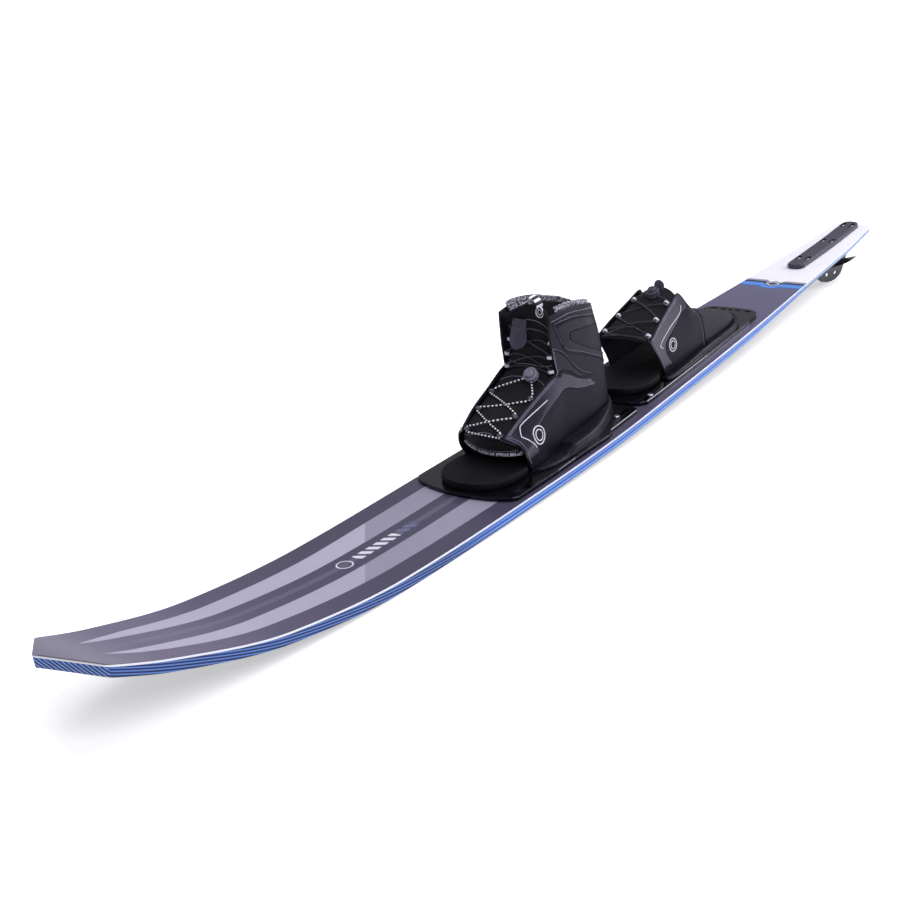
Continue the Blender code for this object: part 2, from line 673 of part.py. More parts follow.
roll_r = 2.7
path = []
for t in (-0.94, -0.8, -0.6, -0.3, 0, 0.3, 0.6, 0.8, 0.94):
    spot = FRONT_TONGUE.lifted(0.0, t, -TONGUE_THICK / 2)
    path.append(spot - Vector((0, 0, roll_r + 0.35)))
cord("front_toe_roll", path, 7.0, roll_r, 8, LINING)


def lace_edge(wall, u):
    return wall.lifted(u, 1.0, -WALL)


def ring_row(prefix, tongue, wall, places, look):
    """Rings up both lace edges, and the middles of both columns."""
    found = {1: [], -1: []}
    for number, (a, u) in enumerate(places, 1):
        for side, tag in ((1, "near"), (-1, "far")):
            made = loop_ring(f"{prefix}_{tag}_{number}", tongue, lace_edge(wall, side * u), a, side, look)
            found[side].append(made)
    return found


def across(tongue, a0, a1, side, height):
    """Points from one side of the tongue to the other, over its middle at the given height."""
    spots = []
    for t, part in ((0.5, 0.25), (0.0, 0.5), (-0.5, 0.75)):
        rise = height if t == 0 else (height + 3.6) / 2
        spots.append(tongue.lifted(a0 + (a1 - a0) * part, side * t, rise))
    return spots


def zigzag(tongue, places, rings, start, end, low, bar=-0.16):
    """A cord's path from start down one edge, across the foot and up the other edge to the end."""
    path = list(start)
    count = len(places)
    side = -1
    for k in range(count - 1, 0, -1):
        path += through(rings[side][k], -1)
        path += across(tongue, places[k][0], places[k - 1][0], side, low + 2 * LACE_R + 0.9)
        side = -side
    path += through(rings[side][0], -1)
    path += across(tongue, places[0][0] + bar, places[0][0] + bar, side, low)
    side = -side
    path += through(rings[side][0], 1)
    for k in range(1, count):
        path += across(tongue, places[k - 1][0], places[k][0], side, low)
        side = -side
        path += through(rings[side][k], 1)
    return path + list(end)


def lock(prefix, centre, axis):
    """A cord lock: a round body with a bore, and a sprung plunger that stands out of it."""
    body = [(0, 0), (LOCK_R - 1.2, 0), (LOCK_R, 1.2), (LOCK_R, LOCK_TALL - 1.2), (LOCK_R - 1.2, LOCK_TALL)]
    body += [(LOCK_BORE, LOCK_TALL), (LOCK_BORE, 2.0), (0, 2.0)]
    turned(prefix + "_lock_body", body, centre, axis, LOCK_GREY, sides=18)
    tall = LOCK_TALL + PLUNGER_OUT
    stem = [(0, 5.6), (PLUNGER_R, 5.6), (PLUNGER_R, tall - 1.2), (PLUNGER_R - 1.2, tall), (0, tall)]
    turned(prefix + "_lock_plunger", stem, centre, axis, LOCK_GREY, sides=18)


def lay(spot):
    return Vector((spot.x, spot.y, spot.z + deck(spot.x)))


def lock_end(centre, axis, ring):
    """Points that lead a cord from the lock's side to a ring."""
    away = ring[0] - centre
    away = (away - axis * away.dot(axis)).normalized()
    bridge = ring[0] + ring[1] * 5.0 + (centre + axis * 4.0 - ring[0]) * 0.12
    return [centre + axis * 4.0 + away * (LOCK_R + 0.9), centre + axis * 4.0 + away * (LOCK_R + 4.0),
        bridge]


LOWER = [(2.08, 10.78), (3.0, 9.95), (3.98, 8.95)]
rings = ring_row("front_loop_low", FRONT_TONGUE, BOOT, LOWER, WEBBING)
centre = FRONT_TONGUE.lifted(5.4, 0.28, 1.7)
axis = FRONT_TONGUE.out(5.4, 0.28)
lock("front", lay(centre), axis)
low_start = lock_end(centre, axis, rings[-1][2])
low_end = lock_end(centre, axis, rings[1][2])[::-1]
cord("front_lace_low", zigzag(FRONT_TONGUE, LOWER, rings, low_start, low_end, 1.7))

UPPER = [(6.2, 6.95), (6.9, 6.35), (7.55, 5.8)]
rings = ring_row("front_loop_high", FRONT_TONGUE, BOOT, UPPER, WEBBING)
TAB_HALF = 14.0
TAB_AT = 7.5
tab_axis = FRONT_TONGUE.out(TAB_AT, -0.3)
tab_up = (FRONT_TONGUE.spot(TAB_AT + 0.2, -0.3) - FRONT_TONGUE.spot(TAB_AT - 0.2, -0.3)).normalized()
tab_across = tab_up.cross(tab_axis).normalized()
tab_middle = FRONT_TONGUE.lifted(TAB_AT, -0.3, 10.5)
rings_tab = []
for out, shrink in ((-2.0, 0.9), (-1.2, 1.0), (1.2, 1.0), (2.0, 0.9)):
    ring = []
    for n in range(7):
        turn = math.pi + math.pi * n / 6
        ring.append((TAB_HALF * math.cos(turn), -6.0 + TAB_HALF * math.sin(turn)))
    ring += [(11.5, 19.0), (-11.5, 19.0)]
    spots = [tab_middle + (tab_across * u + tab_up * v) * shrink + tab_axis * out for u, v in ring]
    rings_tab.append(on_deck([tuple(p) for p in spots]))
points, faces = loft(rings_tab)
solid("front_pull_tab", points, faces, LOCK_GREY)
high_start = [tab_middle - tab_across * (TAB_HALF - 0.6) + tab_up * 6,
    tab_middle - tab_across * (TAB_HALF + 1.5) + tab_up * 9]
high_start.append(FRONT_TONGUE.lifted(7.9, -0.8, 5.5))
high_end = [FRONT_TONGUE.lifted(7.9, 0.76, 5.5), tab_middle + tab_across * (TAB_HALF + 4) + tab_up * 9]
high_end.append(tab_middle + tab_across * (TAB_HALF - 0.6) + tab_up * 6)
high_path = zigzag(FRONT_TONGUE, UPPER, rings, high_start, high_end, 1.7, -0.13)
cord("front_lace_high", high_path, radius=LACE_R - 0.25)

top = FRONT_TONGUE.spot(9, 0) - FRONT_TONGUE.out(9, 0) * TONGUE_THICK / 2
arch = []
for n in range(9):
    turn = math.pi * n / 8
    arch.append((top.x, 8.0 * math.cos(turn), top.z + 0.6 + 9.0 * math.sin(turn)))
rings_arch = []
for n, (x, y, z) in enumerate(arch):
    turn = math.pi * n / 8
    out = Vector((0, math.cos(turn), math.sin(turn)))
    spots = [Vector((x + dx, y, z)) + out * by for dx, by in ((-5, 0), (5, 0), (5, 1.4), (-5, 1.4))]
    rings_arch.append(on_deck([tuple(p) for p in spots]))
points, faces = loft(rings_arch)
solid("front_tongue_loop", points, faces, WEBBING)

# Rear binding: plate with five crosswise slots at the back, then the low boot.
half = [(791.5, 0), (790.5, 25), (787.5, 46), (781, 60), (773, 66.5), (742, 66), (602, 60), (532, 55.5),
    (466, 52), (440, 49)]
half += [(426, 42), (420, 30), (419, 0)]
rear_plate = slab("rear_plate", mirrored(half), GAP, PLATE_TOP, PLATE_BLACK)
follow_deck(rear_plate)
for side in (1, -1):
    tag = "near" if side > 0 else "far"
    start, end = (753.0, side * 60.0), (769.0, side * 59.5)
    cut(rear_plate, round_slot(f"rear_slot_{tag}", start, end, 2.6, -20, 30))
    turned(f"rear_screw_{tag}", SCREW, (755.5, side * 59.9, deck(755.5)), (0, 0, 1), SCREW_STEEL, sides=12)
for number, (y, reach) in enumerate(((-29, 3.4), (-12.5, 2.2), (0, 1.2), (12.5, 2.2), (29, 3.4))):
    cut(rear_plate,
        round_slot(f"rear_cross_slot_{number}", (429, y - reach), (429, y + reach), 2.2, -20, 30))

base = [(470, 0), (475, 22), (492, 38), (520, 44), (550, 45.5), (575, 46), (590, 46), (605, 46.5),
    (625, 46.5)]
base += [(645, 46.5), (668, 46), (691, 45)]
base = [(x, y, SEAT) for x, y in base]
low = [(468, 0, 12), (473, 22, 14), (490, 39, 18), (520, 44.5, 24), (550, 45.5, 28), (575, 45.5, 32),
    (590, 45.3, 34)]
low += [(605, 45.2, 38), (628, 45, 40), (652, 44.6, 40), (680, 44.6, 38), (703, 45.2, 36)]
high = [(474, 0, 19), (478, 18, 22), (496, 32, 30), (524, 37, 40), (553, 40.5, 48), (577, 42, 54),
    (591, 42.5, 56)]
high += [(606, 42, 62), (626, 39, 72), (652, 40, 70), (686, 42.5, 62), (713, 45, 53)]
top = [(490, 0, 20), (493, 12, 24), (507, 21, 34), (530, 28, 45), (556, 33, 55), (578, 36.5, 63),
    (592, 38, 67)]
top += [(606, 36.5, 83), (622, 32, 103), (650, 35, 94), (690, 40, 80), (720, 44, 67)]
LOW_BOOT = Wall([base, low, high, top], [0.0, 0.3, 0.68, 1.0], [(0, 0)] * 12)
vs = [0, 0.15, 0.3, 0.45, 0.6, 0.75, 0.88, 1.0]
us = [0, 0.5, 1, 1.5, 2, 2.5, 3, 3.5, 4, 4.5, 5, 5.4]
wall_piece("rear_heel", LOW_BOOT, both_sides(us), vs, 0, -WALL, UPPER_SHELL)
us = [5.42, 5.7, 6, 6.5, 7, 7.5, 8, 8.5, 9, 9.5, 10, 10.5, 11]
wall_piece("rear_upper_near", LOW_BOOT, us, vs, 0, -WALL, UPPER_SHELL)
wall_piece("rear_upper_far", LOW_BOOT, [-u for u in reversed(us)], vs, 0, -WALL, UPPER_SHELL)

inside = wall_foot(LOW_BOOT, [10.9, 10, 9, 8, 7, 6, 5, 4, 3, 2, 1.5, 1, 0.5, 0], -WALL - 0.7,
    (0.0, 0.15, 0.25))
half = smooth_half([(774, 0), (771, 20), (763, 36), (748, 46), (728, 49), (713, 48.5), (706.5, 46)], 14)
slab("rear_footbed", mirrored(half + [(704.5, 41.5)] + inside), SEAT, FOOTBED_TOP, FOOTBED_FOAM, edge=2.2)
follow_deck(bpy.data.objects["rear_footbed"])

us = [11, 10.5, 10, 9, 8, 7, 6, 5, 4, 3, 2.4, 2, 1.5, 1, 0.5, 0]
outer = [(703, 57), (696, 59), (678, 60), (645, 59), (625, 58), (605, 57), (588, 56), (570, 55),
    (544, 54), (516, 52.5)]
outer += [(500, 50), (487, 45.5), (472, 37), (463, 27), (457, 14), (455, 0)]
tall = [9, 9.6, 10.5, 12, 13, 14, 14, 14, 14, 14, 14, 14.5, 15, 15.5, 16, 16]
rim("rear_frame", wall_foot(LOW_BOOT, us, 0.6, (0.0, 0.15, 0.3, 0.4)), outer, tall, FRAME_BLACK)

edges = [(10.9, 0.9), (10, 0.9), (9, 0.9), (8.3, 0.9), (7.9, 0.94)]
middles = [(716, 0, 66), (690, 0, 80), (654, 0, 93), (628, 0, 101), (612, 0, 106)]
REAR_TONGUE = Tongue(LOW_BOOT, edges, middles, WALL + 1.2)
rows = [0, 0.4, 0.8, 1.2, 1.6, 2, 2.4, 2.8, 3.2, 3.6, 4]
tongue_piece("rear_tongue", REAR_TONGUE, rows, ts, TONGUE_THICK, TONGUE_CLOTH)
REAR = [(0.3, 10.6), (1.3, 9.6), (2.35, 8.7)]
rings = ring_row("rear_loop", REAR_TONGUE, LOW_BOOT, REAR, WEBBING)
centre = REAR_TONGUE.lifted(2.75, 0.0, 1.0)
axis = REAR_TONGUE.out(2.75, 0.0)
lock("rear", lay(centre), axis)
start = lock_end(centre, axis, rings[-1][2])
end = lock_end(centre, axis, rings[1][2])[::-1]
cord("rear_lace", zigzag(REAR_TONGUE, REAR, rings, start, end, 1.7))

# The ski stands on the fin's lowest point and on its forebody's rails: the stance turns it to meet both.
fin_low = (79.0, -66.0)
rail = [(SKI_LENGTH - s, deck(SKI_LENGTH - s) - wall_tall(SKI_LENGTH - s)) for s in STATIONS]


def lean(angle):
    """How far the lowest rail point lies below the fin's lowest point, with the ski turned by the angle."""
    lowest = min(-x * math.sin(angle) + z * math.cos(angle) for x, z in rail)
    return lowest - (-fin_low[0] * math.sin(angle) + fin_low[1] * math.cos(angle))


small, large = 0.0, math.radians(12)
for _ in range(60):
    middle = (small + large) / 2
    if lean(middle) > 0:
        small = middle
    else:
        large = middle
turn = (small + large) / 2
rise = fin_low[0] * math.sin(turn) - fin_low[1] * math.cos(turn)
spots = rail + [(SKI_LENGTH - s, deck(SKI_LENGTH - s)) for s in STATIONS]
along = [x * math.cos(turn) + z * math.sin(turn) for x, z in spots]
back = -(min(along) + max(along)) / 2
STANCE.matrix_world = Matrix.Translation((back * 0.001, 0, rise * 0.001)) @ Matrix.Rotation(turn, 4, "Y")
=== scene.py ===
import math

import bmesh
import bpy
import numpy as np
from mathutils import Matrix, Vector


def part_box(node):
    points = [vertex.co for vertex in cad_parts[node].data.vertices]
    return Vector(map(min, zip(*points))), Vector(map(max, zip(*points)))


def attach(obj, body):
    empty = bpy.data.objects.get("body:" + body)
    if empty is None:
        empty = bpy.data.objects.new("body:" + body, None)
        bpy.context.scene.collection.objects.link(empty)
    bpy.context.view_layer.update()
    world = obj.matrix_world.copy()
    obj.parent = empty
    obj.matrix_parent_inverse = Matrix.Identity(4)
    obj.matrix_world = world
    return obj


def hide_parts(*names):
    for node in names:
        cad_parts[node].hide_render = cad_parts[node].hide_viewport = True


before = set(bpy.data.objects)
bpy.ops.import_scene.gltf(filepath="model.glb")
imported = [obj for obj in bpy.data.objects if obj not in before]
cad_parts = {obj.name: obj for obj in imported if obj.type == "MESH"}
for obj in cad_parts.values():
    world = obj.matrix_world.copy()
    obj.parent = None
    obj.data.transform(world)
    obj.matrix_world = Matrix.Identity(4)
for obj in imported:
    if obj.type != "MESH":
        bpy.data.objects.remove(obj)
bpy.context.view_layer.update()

# %% [markdown]
# ## The ski's own frame
# A ski is drawn from its tail to its nose, so that is how the shapes below are written: X from the tail, Y to the
# skier's left and Z up from the deck, all in millimetres. One matrix then tips the ski onto its fin and its
# forebody, as it stands on the floor. Working in the ski's frame keeps every number readable on a drawing.
# %% From the ski's frame to the floor's
SKI_LENGTH = 1702.0
SKI_HALF_WIDTH = 87.4
STANCE_TURN = math.radians(3.11911)
STANCE = Matrix.Translation((-0.8531945, 0, 0.0702007)) @ Matrix.Rotation(STANCE_TURN, 4, "Y")
TURN = np.array(STANCE.to_3x3())
SHIFT = np.array(STANCE.translation)
MM = 0.001
print("the ski's frame is turned by", round(math.degrees(STANCE_TURN), 2), "degrees and moved by", SHIFT.round(3))


# %% Smooth curves through marks
def glide(knots, values, x):
    """Smooth curves through the knots, without overshoot. values has one row a knot, and x may be many places."""
    knots = np.asarray(knots, float)
    values = np.asarray(values, float)
    x = np.atleast_1d(np.asarray(x, float))
    flat = values.ndim == 1
    if flat:
        values = values[:, None]
    if values.ndim == 2:
        values = np.repeat(values[:, None, :], len(x), axis=1)
    steps = np.diff(knots)
    slopes = np.diff(values, axis=0) / steps[:, None, None]
    ends = np.zeros_like(values)
    ends[0], ends[-1] = slopes[0], slopes[-1]
    before, after = slopes[:-1], slopes[1:]
    product = before * after
    total = np.where(product > 0, before + after, 1.0)
    ends[1:-1] = np.where(product > 0, 2 * product / total, 0.0)
    i = np.clip(np.searchsorted(knots, x) - 1, 0, len(steps) - 1)
    n = np.arange(len(x))
    h = steps[i][:, None]
    t = ((x - knots[i]) / steps[i])[:, None]
    first = (1 + 2 * t) * (1 - t) ** 2 * values[i, n] + t * (1 - t) ** 2 * h * ends[i, n]
    second = t * t * (3 - 2 * t) * values[i + 1, n] + t * t * (t - 1) * h * ends[i + 1, n]
    return (first + second)[:, 0] if flat else first + second


print("halfway between marks at 0, 1 and 4:", glide([0, 1, 2], [0, 1, 4], [0.5, 1.5]).round(2))
# %% The deck's curve
# Down from the nose: where each station lies, how high the deck is there and what share of the width it has.
REACH = [0, 102, 238, 408, 613, 817, 1021, 1225, 1430, 1583, 1702]
DECK_Z = [129.5, 83.8, 39.9, 15.5, 6.2, 0.6, -0.5, -0.8, -0.4, 0.8, 5.5]
WIDTH = [0.647, 0.771, 0.903, 0.982, 1.0, 0.981, 0.883, 0.761, 0.594, 0.487, 0.379]


def deck(x):
    """How high the deck's curve is at a place along the ski."""
    return glide(REACH, DECK_Z, np.clip(SKI_LENGTH - np.asarray(x, float), 0.0, SKI_LENGTH))


def to_row(points, laid=True):
    """Points in the ski's millimetres to the row frame's metres, raised onto the deck's curve if laid."""
    points = np.array(points, float).reshape(-1, 3)
    if laid:
        points[:, 2] += deck(points[:, 0])
    return points * MM @ TURN.T + SHIFT


ski_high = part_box("ski_blank")[1]
tip = to_row([(SKI_LENGTH, 0, 0)])[0]
print("nose edge at", np.round(tip, 4), "CAD nose x", round(ski_high.x, 4))

# %% [markdown]
# ## The camera
# The photograph looks down the ski from beside its nose, with the nose near and the tail far away. The camera's place
# was solved from the ski's outline in the photograph, in the ski's frame, and goes through the same matrix.
# %% The camera
PICTURE_PIXELS, FOCAL_PIXELS, SENSOR_MM, SEES_TO = 900, 1478.59, 36.0, 50.0
eye = Vector((2.29526, 1.10714, 0.78625))
yaw, pitch, roll = (math.radians(d) for d in (-137.149, -23.794, -9.525))
ahead = Vector((math.cos(pitch) * math.cos(yaw), math.cos(pitch) * math.sin(yaw), math.sin(pitch)))
level = ahead.cross(Vector((0, 0, 1))).normalized()
upright = level.cross(ahead)
right = level * math.cos(roll) + upright * math.sin(roll)
top = upright * math.cos(roll) - level * math.sin(roll)
lens = bpy.data.cameras.new("studio_camera")
lens.sensor_width = SENSOR_MM
lens.lens = FOCAL_PIXELS / PICTURE_PIXELS * SENSOR_MM
lens.clip_end = SEES_TO
camera = bpy.data.objects.new("studio_camera", lens)
bpy.context.scene.collection.objects.link(camera)
turned_to = Matrix((right, top, -ahead)).transposed().to_4x4()
camera.matrix_world = STANCE @ (Matrix.Translation(eye) @ turned_to)
bpy.context.scene.camera = camera
print("camera at", [round(c, 3) for c in camera.matrix_world.translation])

# %% [markdown]
# ## Helpers for finishes
# Every finish below is a small node tree. One function adds a node, sets it and links it, and one turns the sRGB
# colours that a designer picks into the linear ones that a renderer adds up.
# %% Adding nodes
def linear(hex_colour):
    """The linear colour of an sRGB hex value, with an alpha of 1."""
    parts = [int(hex_colour[i : i + 2], 16) / 255 for i in (1, 3, 5)]
    return tuple(c / 12.92 if c <= 0.04045 else ((c + 0.055) / 1.055) ** 2.4 for c in parts) + (1.0,)


def add(tree, kind, links, out=0, **settings):
    """Adds a shader node, sets it, fills its inputs with plain values or other outputs, and gives one output."""
    made = tree.nodes.new("ShaderNode" + kind)
    for key, value in settings.items():
        setattr(made, key, value)
    for socket, value in links.items() if isinstance(links, dict) else enumerate(links):
        if isinstance(value, bpy.types.NodeSocket):
            tree.links.new(value, made.inputs[socket])
        else:
            made.inputs[socket].default_value = value
    return made.outputs[out]


def finish(name, **settings):
    """An empty finish: its material, its tree, and the shader with its plain settings."""
    made = bpy.data.materials.new(name)
    made.use_nodes = True
    shader = made.node_tree.nodes["Principled BSDF"]
    for key, value in settings.items():
        shader.inputs[key.replace("_", " ")].default_value = value
    return made, made.node_tree, shader


def surfaced(tree, shader, colour, grain, strength, depth, uneven=None):
    """Gives a shader its colour, dents of a grain up to depth metres deep, and a roughness that wanders.

    uneven holds a factor and the roughness at its 0 and its 1.
    """
    tree.links.new(colour, shader.inputs["Base Color"])
    if uneven:
        rough = add(tree, "MapRange", {0: uneven[0], 3: uneven[1], 4: uneven[2]})
        tree.links.new(rough, shader.inputs["Roughness"])
    dents = add(tree, "Bump", {"Height": grain, "Strength": strength, "Distance": depth})
    tree.links.new(dents, shader.inputs["Normal"])


print("a white in linear light:", linear("#ffffff"), "a middle grey:", [round(c, 3) for c in linear("#808080")])

# %% [markdown]
# ### Patterns in millimetres
# Patterns that follow a piece read its own measure, which is kept at each point as `lay`. Grain and mottling have no
# direction, so they are read from the object's space. A mask is a number from 0 to 1, and inks are laid by masks.
# %% Measures and grains
def place_on(tree):
    """A piece's own measure: millimetres along it, millimetres across it, and a third number of the piece's own."""
    measure = add(tree, "Attribute", {}, "Vector", attribute_name="lay")
    return list(add(tree, "SeparateXYZ", [measure]).node.outputs)


def mottle(tree, millimetres, detail=2.0):
    """Soft clouds, each about as large as the size given."""
    where = add(tree, "TexCoord", {}, "Object")
    links = {"Vector": where, "Scale": 1000 / millimetres, "Detail": detail, "Roughness": 0.55}
    return add(tree, "TexNoise", links)


def cells(tree, millimetres):
    """Rounded cells that lie side by side, as in a pebble grain or a foam."""
    where = add(tree, "TexCoord", {}, "Object")
    return add(tree, "TexVoronoi", {"Vector": where, "Scale": 1000 / millimetres}, feature="SMOOTH_F1")


print("a grain of 2 mm repeats", 1000 / 2, "times a metre")


# %% Masks
def step_at(tree, value, edge, soft):
    """0 below the edge and 1 above it, with a soft change between, or 1 below it where soft is negative."""
    away = add(tree, "Math", [value, edge], operation="SUBTRACT")
    share = add(tree, "Math", [away, 1 / soft], operation="MULTIPLY")
    return add(tree, "Math", [share, 0.5], operation="ADD", use_clamp=True)


def both(tree, *masks):
    """The product of several masks."""
    made = masks[0]
    for mask in masks[1:]:
        made = add(tree, "Math", [made, mask], operation="MULTIPLY")
    return made


def between(tree, value, low, high, soft):
    """1 where the value lies between two edges."""
    return both(tree, step_at(tree, value, low, soft), step_at(tree, value, high, -soft))


def leaning(tree, measure, *others):
    """A measure that leans, because a share of each other one is added to it."""
    for share, other in others:
        measure = add(tree, "Math", [other, share, measure], operation="MULTIPLY_ADD")
    return measure


def ridges(tree, value, pitch):
    """A wave from 0 to 1 and back for each pitch of the value."""
    turns = add(tree, "Math", [value, 2 * math.pi / pitch], operation="MULTIPLY")
    wave = add(tree, "Math", [turns], operation="SINE")
    return add(tree, "Math", [wave, 0.5, 0.5], operation="MULTIPLY_ADD")


print("masks ready")


# %% Inks
def layered(tree, ground, *layers):
    """Inks laid over a ground: each layer is a mask and the ink that shows where the mask is 1."""
    for mask, ink in layers:
        low, high = (linear(c) if isinstance(c, str) else c for c in (ground, ink))
        ground = add(tree, "Mix", {"Factor": mask, 6: low, 7: high}, 2, data_type="RGBA")
    return ground


def ramp(tree, value, span, stops, held=False):
    """Inks, or plain numbers, along a value that runs from 0 to the span; held keeps each up to the next stop."""
    share = add(tree, "Math", [value, span], operation="DIVIDE")
    made = add(tree, "ValToRGB", [share])
    made.node.color_ramp.interpolation = "CONSTANT" if held else "LINEAR"
    marks = made.node.color_ramp.elements
    marks.remove(marks[-1])
    for k, (place, shown) in enumerate(stops):
        mark = marks[0] if k == 0 else marks.new(place / span)
        mark.position = place / span
        mark.color = linear(shown) if isinstance(shown, str) else (shown, shown, shown, 1.0)
    return made


print("inks ready")

# %% [markdown]
# ## How a piece is made
# Most pieces here are skins over a grid of points, since a grid gives even quads that shade smoothly and can carry
# their own measure: how many millimetres along and across the piece each point lies. The finishes read that measure,
# so that a weave follows the cloth round a bend, where a pattern in space would slide through it. Each maker below
# gives a form: points, faces and measure.
# %% Grids and pieces
def quads(rows, cols, start=0, ring=False):
    """Faces over a grid of points; with ring, the last column joins the first."""
    i, j = np.meshgrid(np.arange(rows - 1), np.arange(cols if ring else cols - 1), indexing="ij")
    a = start + i * cols + j
    b = start + i * cols + (j + 1) % cols
    return np.stack([a, b, b + cols, a + cols], -1).reshape(-1, 4).tolist()


def piece(name, form, look, body, covers=(), laid=True, sharp=40, weld=True):
    """A smooth shaded mesh from a form in the ski's millimetres, which rides on a body of the frame."""
    points, faces, lay = form
    mesh = bpy.data.meshes.new(name)
    mesh.from_pydata(to_row(points, laid).tolist(), [], faces)
    mesh.materials.append(look)
    measure = mesh.attributes.new("lay", "FLOAT_VECTOR", "POINT")
    measure.data.foreach_set("vector", np.asarray(lay, float).ravel())
    work = bmesh.new()
    work.from_mesh(mesh)
    if weld:
        bmesh.ops.remove_doubles(work, verts=work.verts, dist=2e-6)
    bmesh.ops.recalc_face_normals(work, faces=work.faces)
    work.to_mesh(mesh)
    work.free()
    for face in mesh.polygons:
        face.use_smooth = True
    mesh.set_sharp_from_angle(angle=math.radians(sharp))
    made = bpy.data.objects.new(name, mesh)
    bpy.context.scene.collection.objects.link(made)
    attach(made, body)
    if covers:
        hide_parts(*covers)
    print(name, len(mesh.polygons), "faces")
    return made


def joined(*forms):
    """Several forms in one."""
    starts = np.cumsum([0] + [len(form[0]) for form in forms])
    faces = [[start + k for k in face] for start, form in zip(starts.tolist(), forms) for face in form[1]]
    return np.concatenate([form[0] for form in forms]), faces, np.concatenate([form[2] for form in forms])


print("one face of a grid:", quads(2, 2)[0])


# %% Padded sheets
def crowded(start, end, count, crowd=0.75):
    """Steps from start to end that lie closer together near both ends, where an edge is rounded."""
    t = np.linspace(0, 1, count)
    return start + (end - start) * (t - crowd * np.sin(2 * math.pi * t) / (2 * math.pi))


def reach_along(points, axis):
    """How far each point of a grid lies from the grid's first row or column, on its surface."""
    gaps = np.linalg.norm(np.diff(points, axis=axis), axis=2)
    zero = np.zeros_like(np.take(gaps, [0], axis=axis))
    return np.concatenate([zero, np.cumsum(gaps, axis=axis)], axis=axis)


def pad(lift, us, vs, outer, inner, rounding=2.0, open_sides="", swell=None):
    """A closed padded sheet on a surface: both faces meet in a rounded edge on each side that isn't open.

    lift(u, v, by) gives points off the surface; swell(u, v) adds to the outer face, in millimetres. The measure's
    third number is 1 on the outer face and 0 on the inner one.
    """
    u, v = (g.ravel() for g in np.meshgrid(us, vs, indexing="ij"))
    shape = (len(us), len(vs))
    middle = (outer + inner) / 2
    half = (outer - inner) / 2
    core = lift(u, v, np.full(len(u), middle)).reshape(shape + (3,))
    along, across = reach_along(core, 0), reach_along(core, 1)
    far_along, far_across = along[-1:] - along, across[:, -1:] - across
    away = np.full(shape, 1e3)
    for name, distance in (("u0", along), ("u1", far_along), ("v0", across), ("v1", far_across)):
        if name not in open_sides:
            away = np.minimum(away, distance)
    share = np.clip(away / rounding, 0, 1).ravel()
    plump = half * np.sqrt(1 - (1 - share) ** 2)
    rise = plump + share * swell(u, v) if swell else plump
    top = lift(u, v, middle + rise)
    low = lift(u, v, middle - plump)
    count = len(u)
    faces = quads(*shape) + [[count + k for k in face[::-1]] for face in quads(*shape)]
    index = np.arange(count).reshape(shape)
    border = np.concatenate([index[:-1, 0], index[-1, :-1], index[:0:-1, -1], index[0, :0:-1]])
    faces += [[a, b, b + count, a + count] for a, b in zip(border, np.roll(border, -1))]
    measure = np.stack([along.ravel(), across.ravel(), np.ones(count)], 1)
    return np.concatenate([top, low]), faces, np.concatenate([measure, measure * (1, 1, 0)])


print("steps that crowd at both ends:", crowded(0, 10, 6).round(1))


# %% Paths and cords
def unit(v):
    """Directions of length 1."""
    return v / np.maximum(np.linalg.norm(v, axis=-1, keepdims=True), 1e-9)


def run_of(path):
    """How far along a path each of its points lies."""
    return np.concatenate([[0], np.cumsum(np.linalg.norm(np.diff(path, axis=0), axis=1))])


def evenly(path, step):
    """A path of points resampled so that they lie a step apart."""
    path = np.asarray(path, float)
    along = run_of(path)
    keep = np.concatenate([[True], np.diff(along) > 1e-6])
    count = max(2, int(round(along[-1] / step)) + 1)
    return glide(along[keep], path[keep], np.linspace(0, along[-1], count))


def cord_skin(path, radius, sides=10, flat=1.0, up=None):
    """A tube along a path, with its length and turn as its measure. flat squeezes it along up."""
    path = np.asarray(path, float)
    ahead = unit(np.gradient(path, axis=0))
    side = np.zeros_like(path)
    side[0] = unit(np.cross(ahead[0], (0.12, 0.3, 1.0)))
    for i in range(len(path)):
        start = side[max(i - 1, 0)] if up is None else np.cross(ahead[i], up[i])
        side[i] = unit(start - ahead[i] * (start @ ahead[i]))
    over = np.cross(side, ahead)
    turn = np.arange(sides) * 2 * math.pi / sides
    round_it = side[:, None] * np.cos(turn)[None, :, None] + over[:, None] * flat * np.sin(turn)[None, :, None]
    spots = path[:, None] + radius * round_it
    length = run_of(path)
    measure = np.stack(np.broadcast_arrays(length[:, None], turn[None] / (2 * math.pi), 1.0), -1)
    points = np.concatenate([spots.reshape(-1, 3), path[:1], path[-1:]])
    first, last = len(points) - 2, len(points) - 1
    tail = (len(path) - 1) * sides
    faces = quads(len(path), sides, ring=True)
    faces += [[first, (j + 1) % sides, j] for j in range(sides)]
    faces += [[last, tail + j, tail + (j + 1) % sides] for j in range(sides)]
    return points, faces, np.concatenate([measure.reshape(-1, 3), [[0, 0, 1], [length[-1], 0, 1]]])


print("a cord's skin has", len(cord_skin([(0, 0, 0), (5, 0, 0), (9, 1, 0)], 1.0)[1]), "faces for three points")


# %% Stitches and turned forms
def stitches(path, normals, pitch, size):
    """A row of thread stitches along a path: small capsules with a gap between each two."""
    along = run_of(path)
    made = []
    for k in range(int(along[-1] / pitch)):
        at = (k + np.array([0.14, 0.3, 0.5, 0.7, 0.86])) * pitch
        spots, offs = (np.stack([np.interp(at, along, row) for row in rows.T], 1) for rows in (path, normals))
        dip = np.array([-0.25, 0.12, 0.2, 0.12, -0.25])[:, None] * size * 2
        made.append(cord_skin(spots + unit(offs) * dip, size, 5))
    return joined(*made)


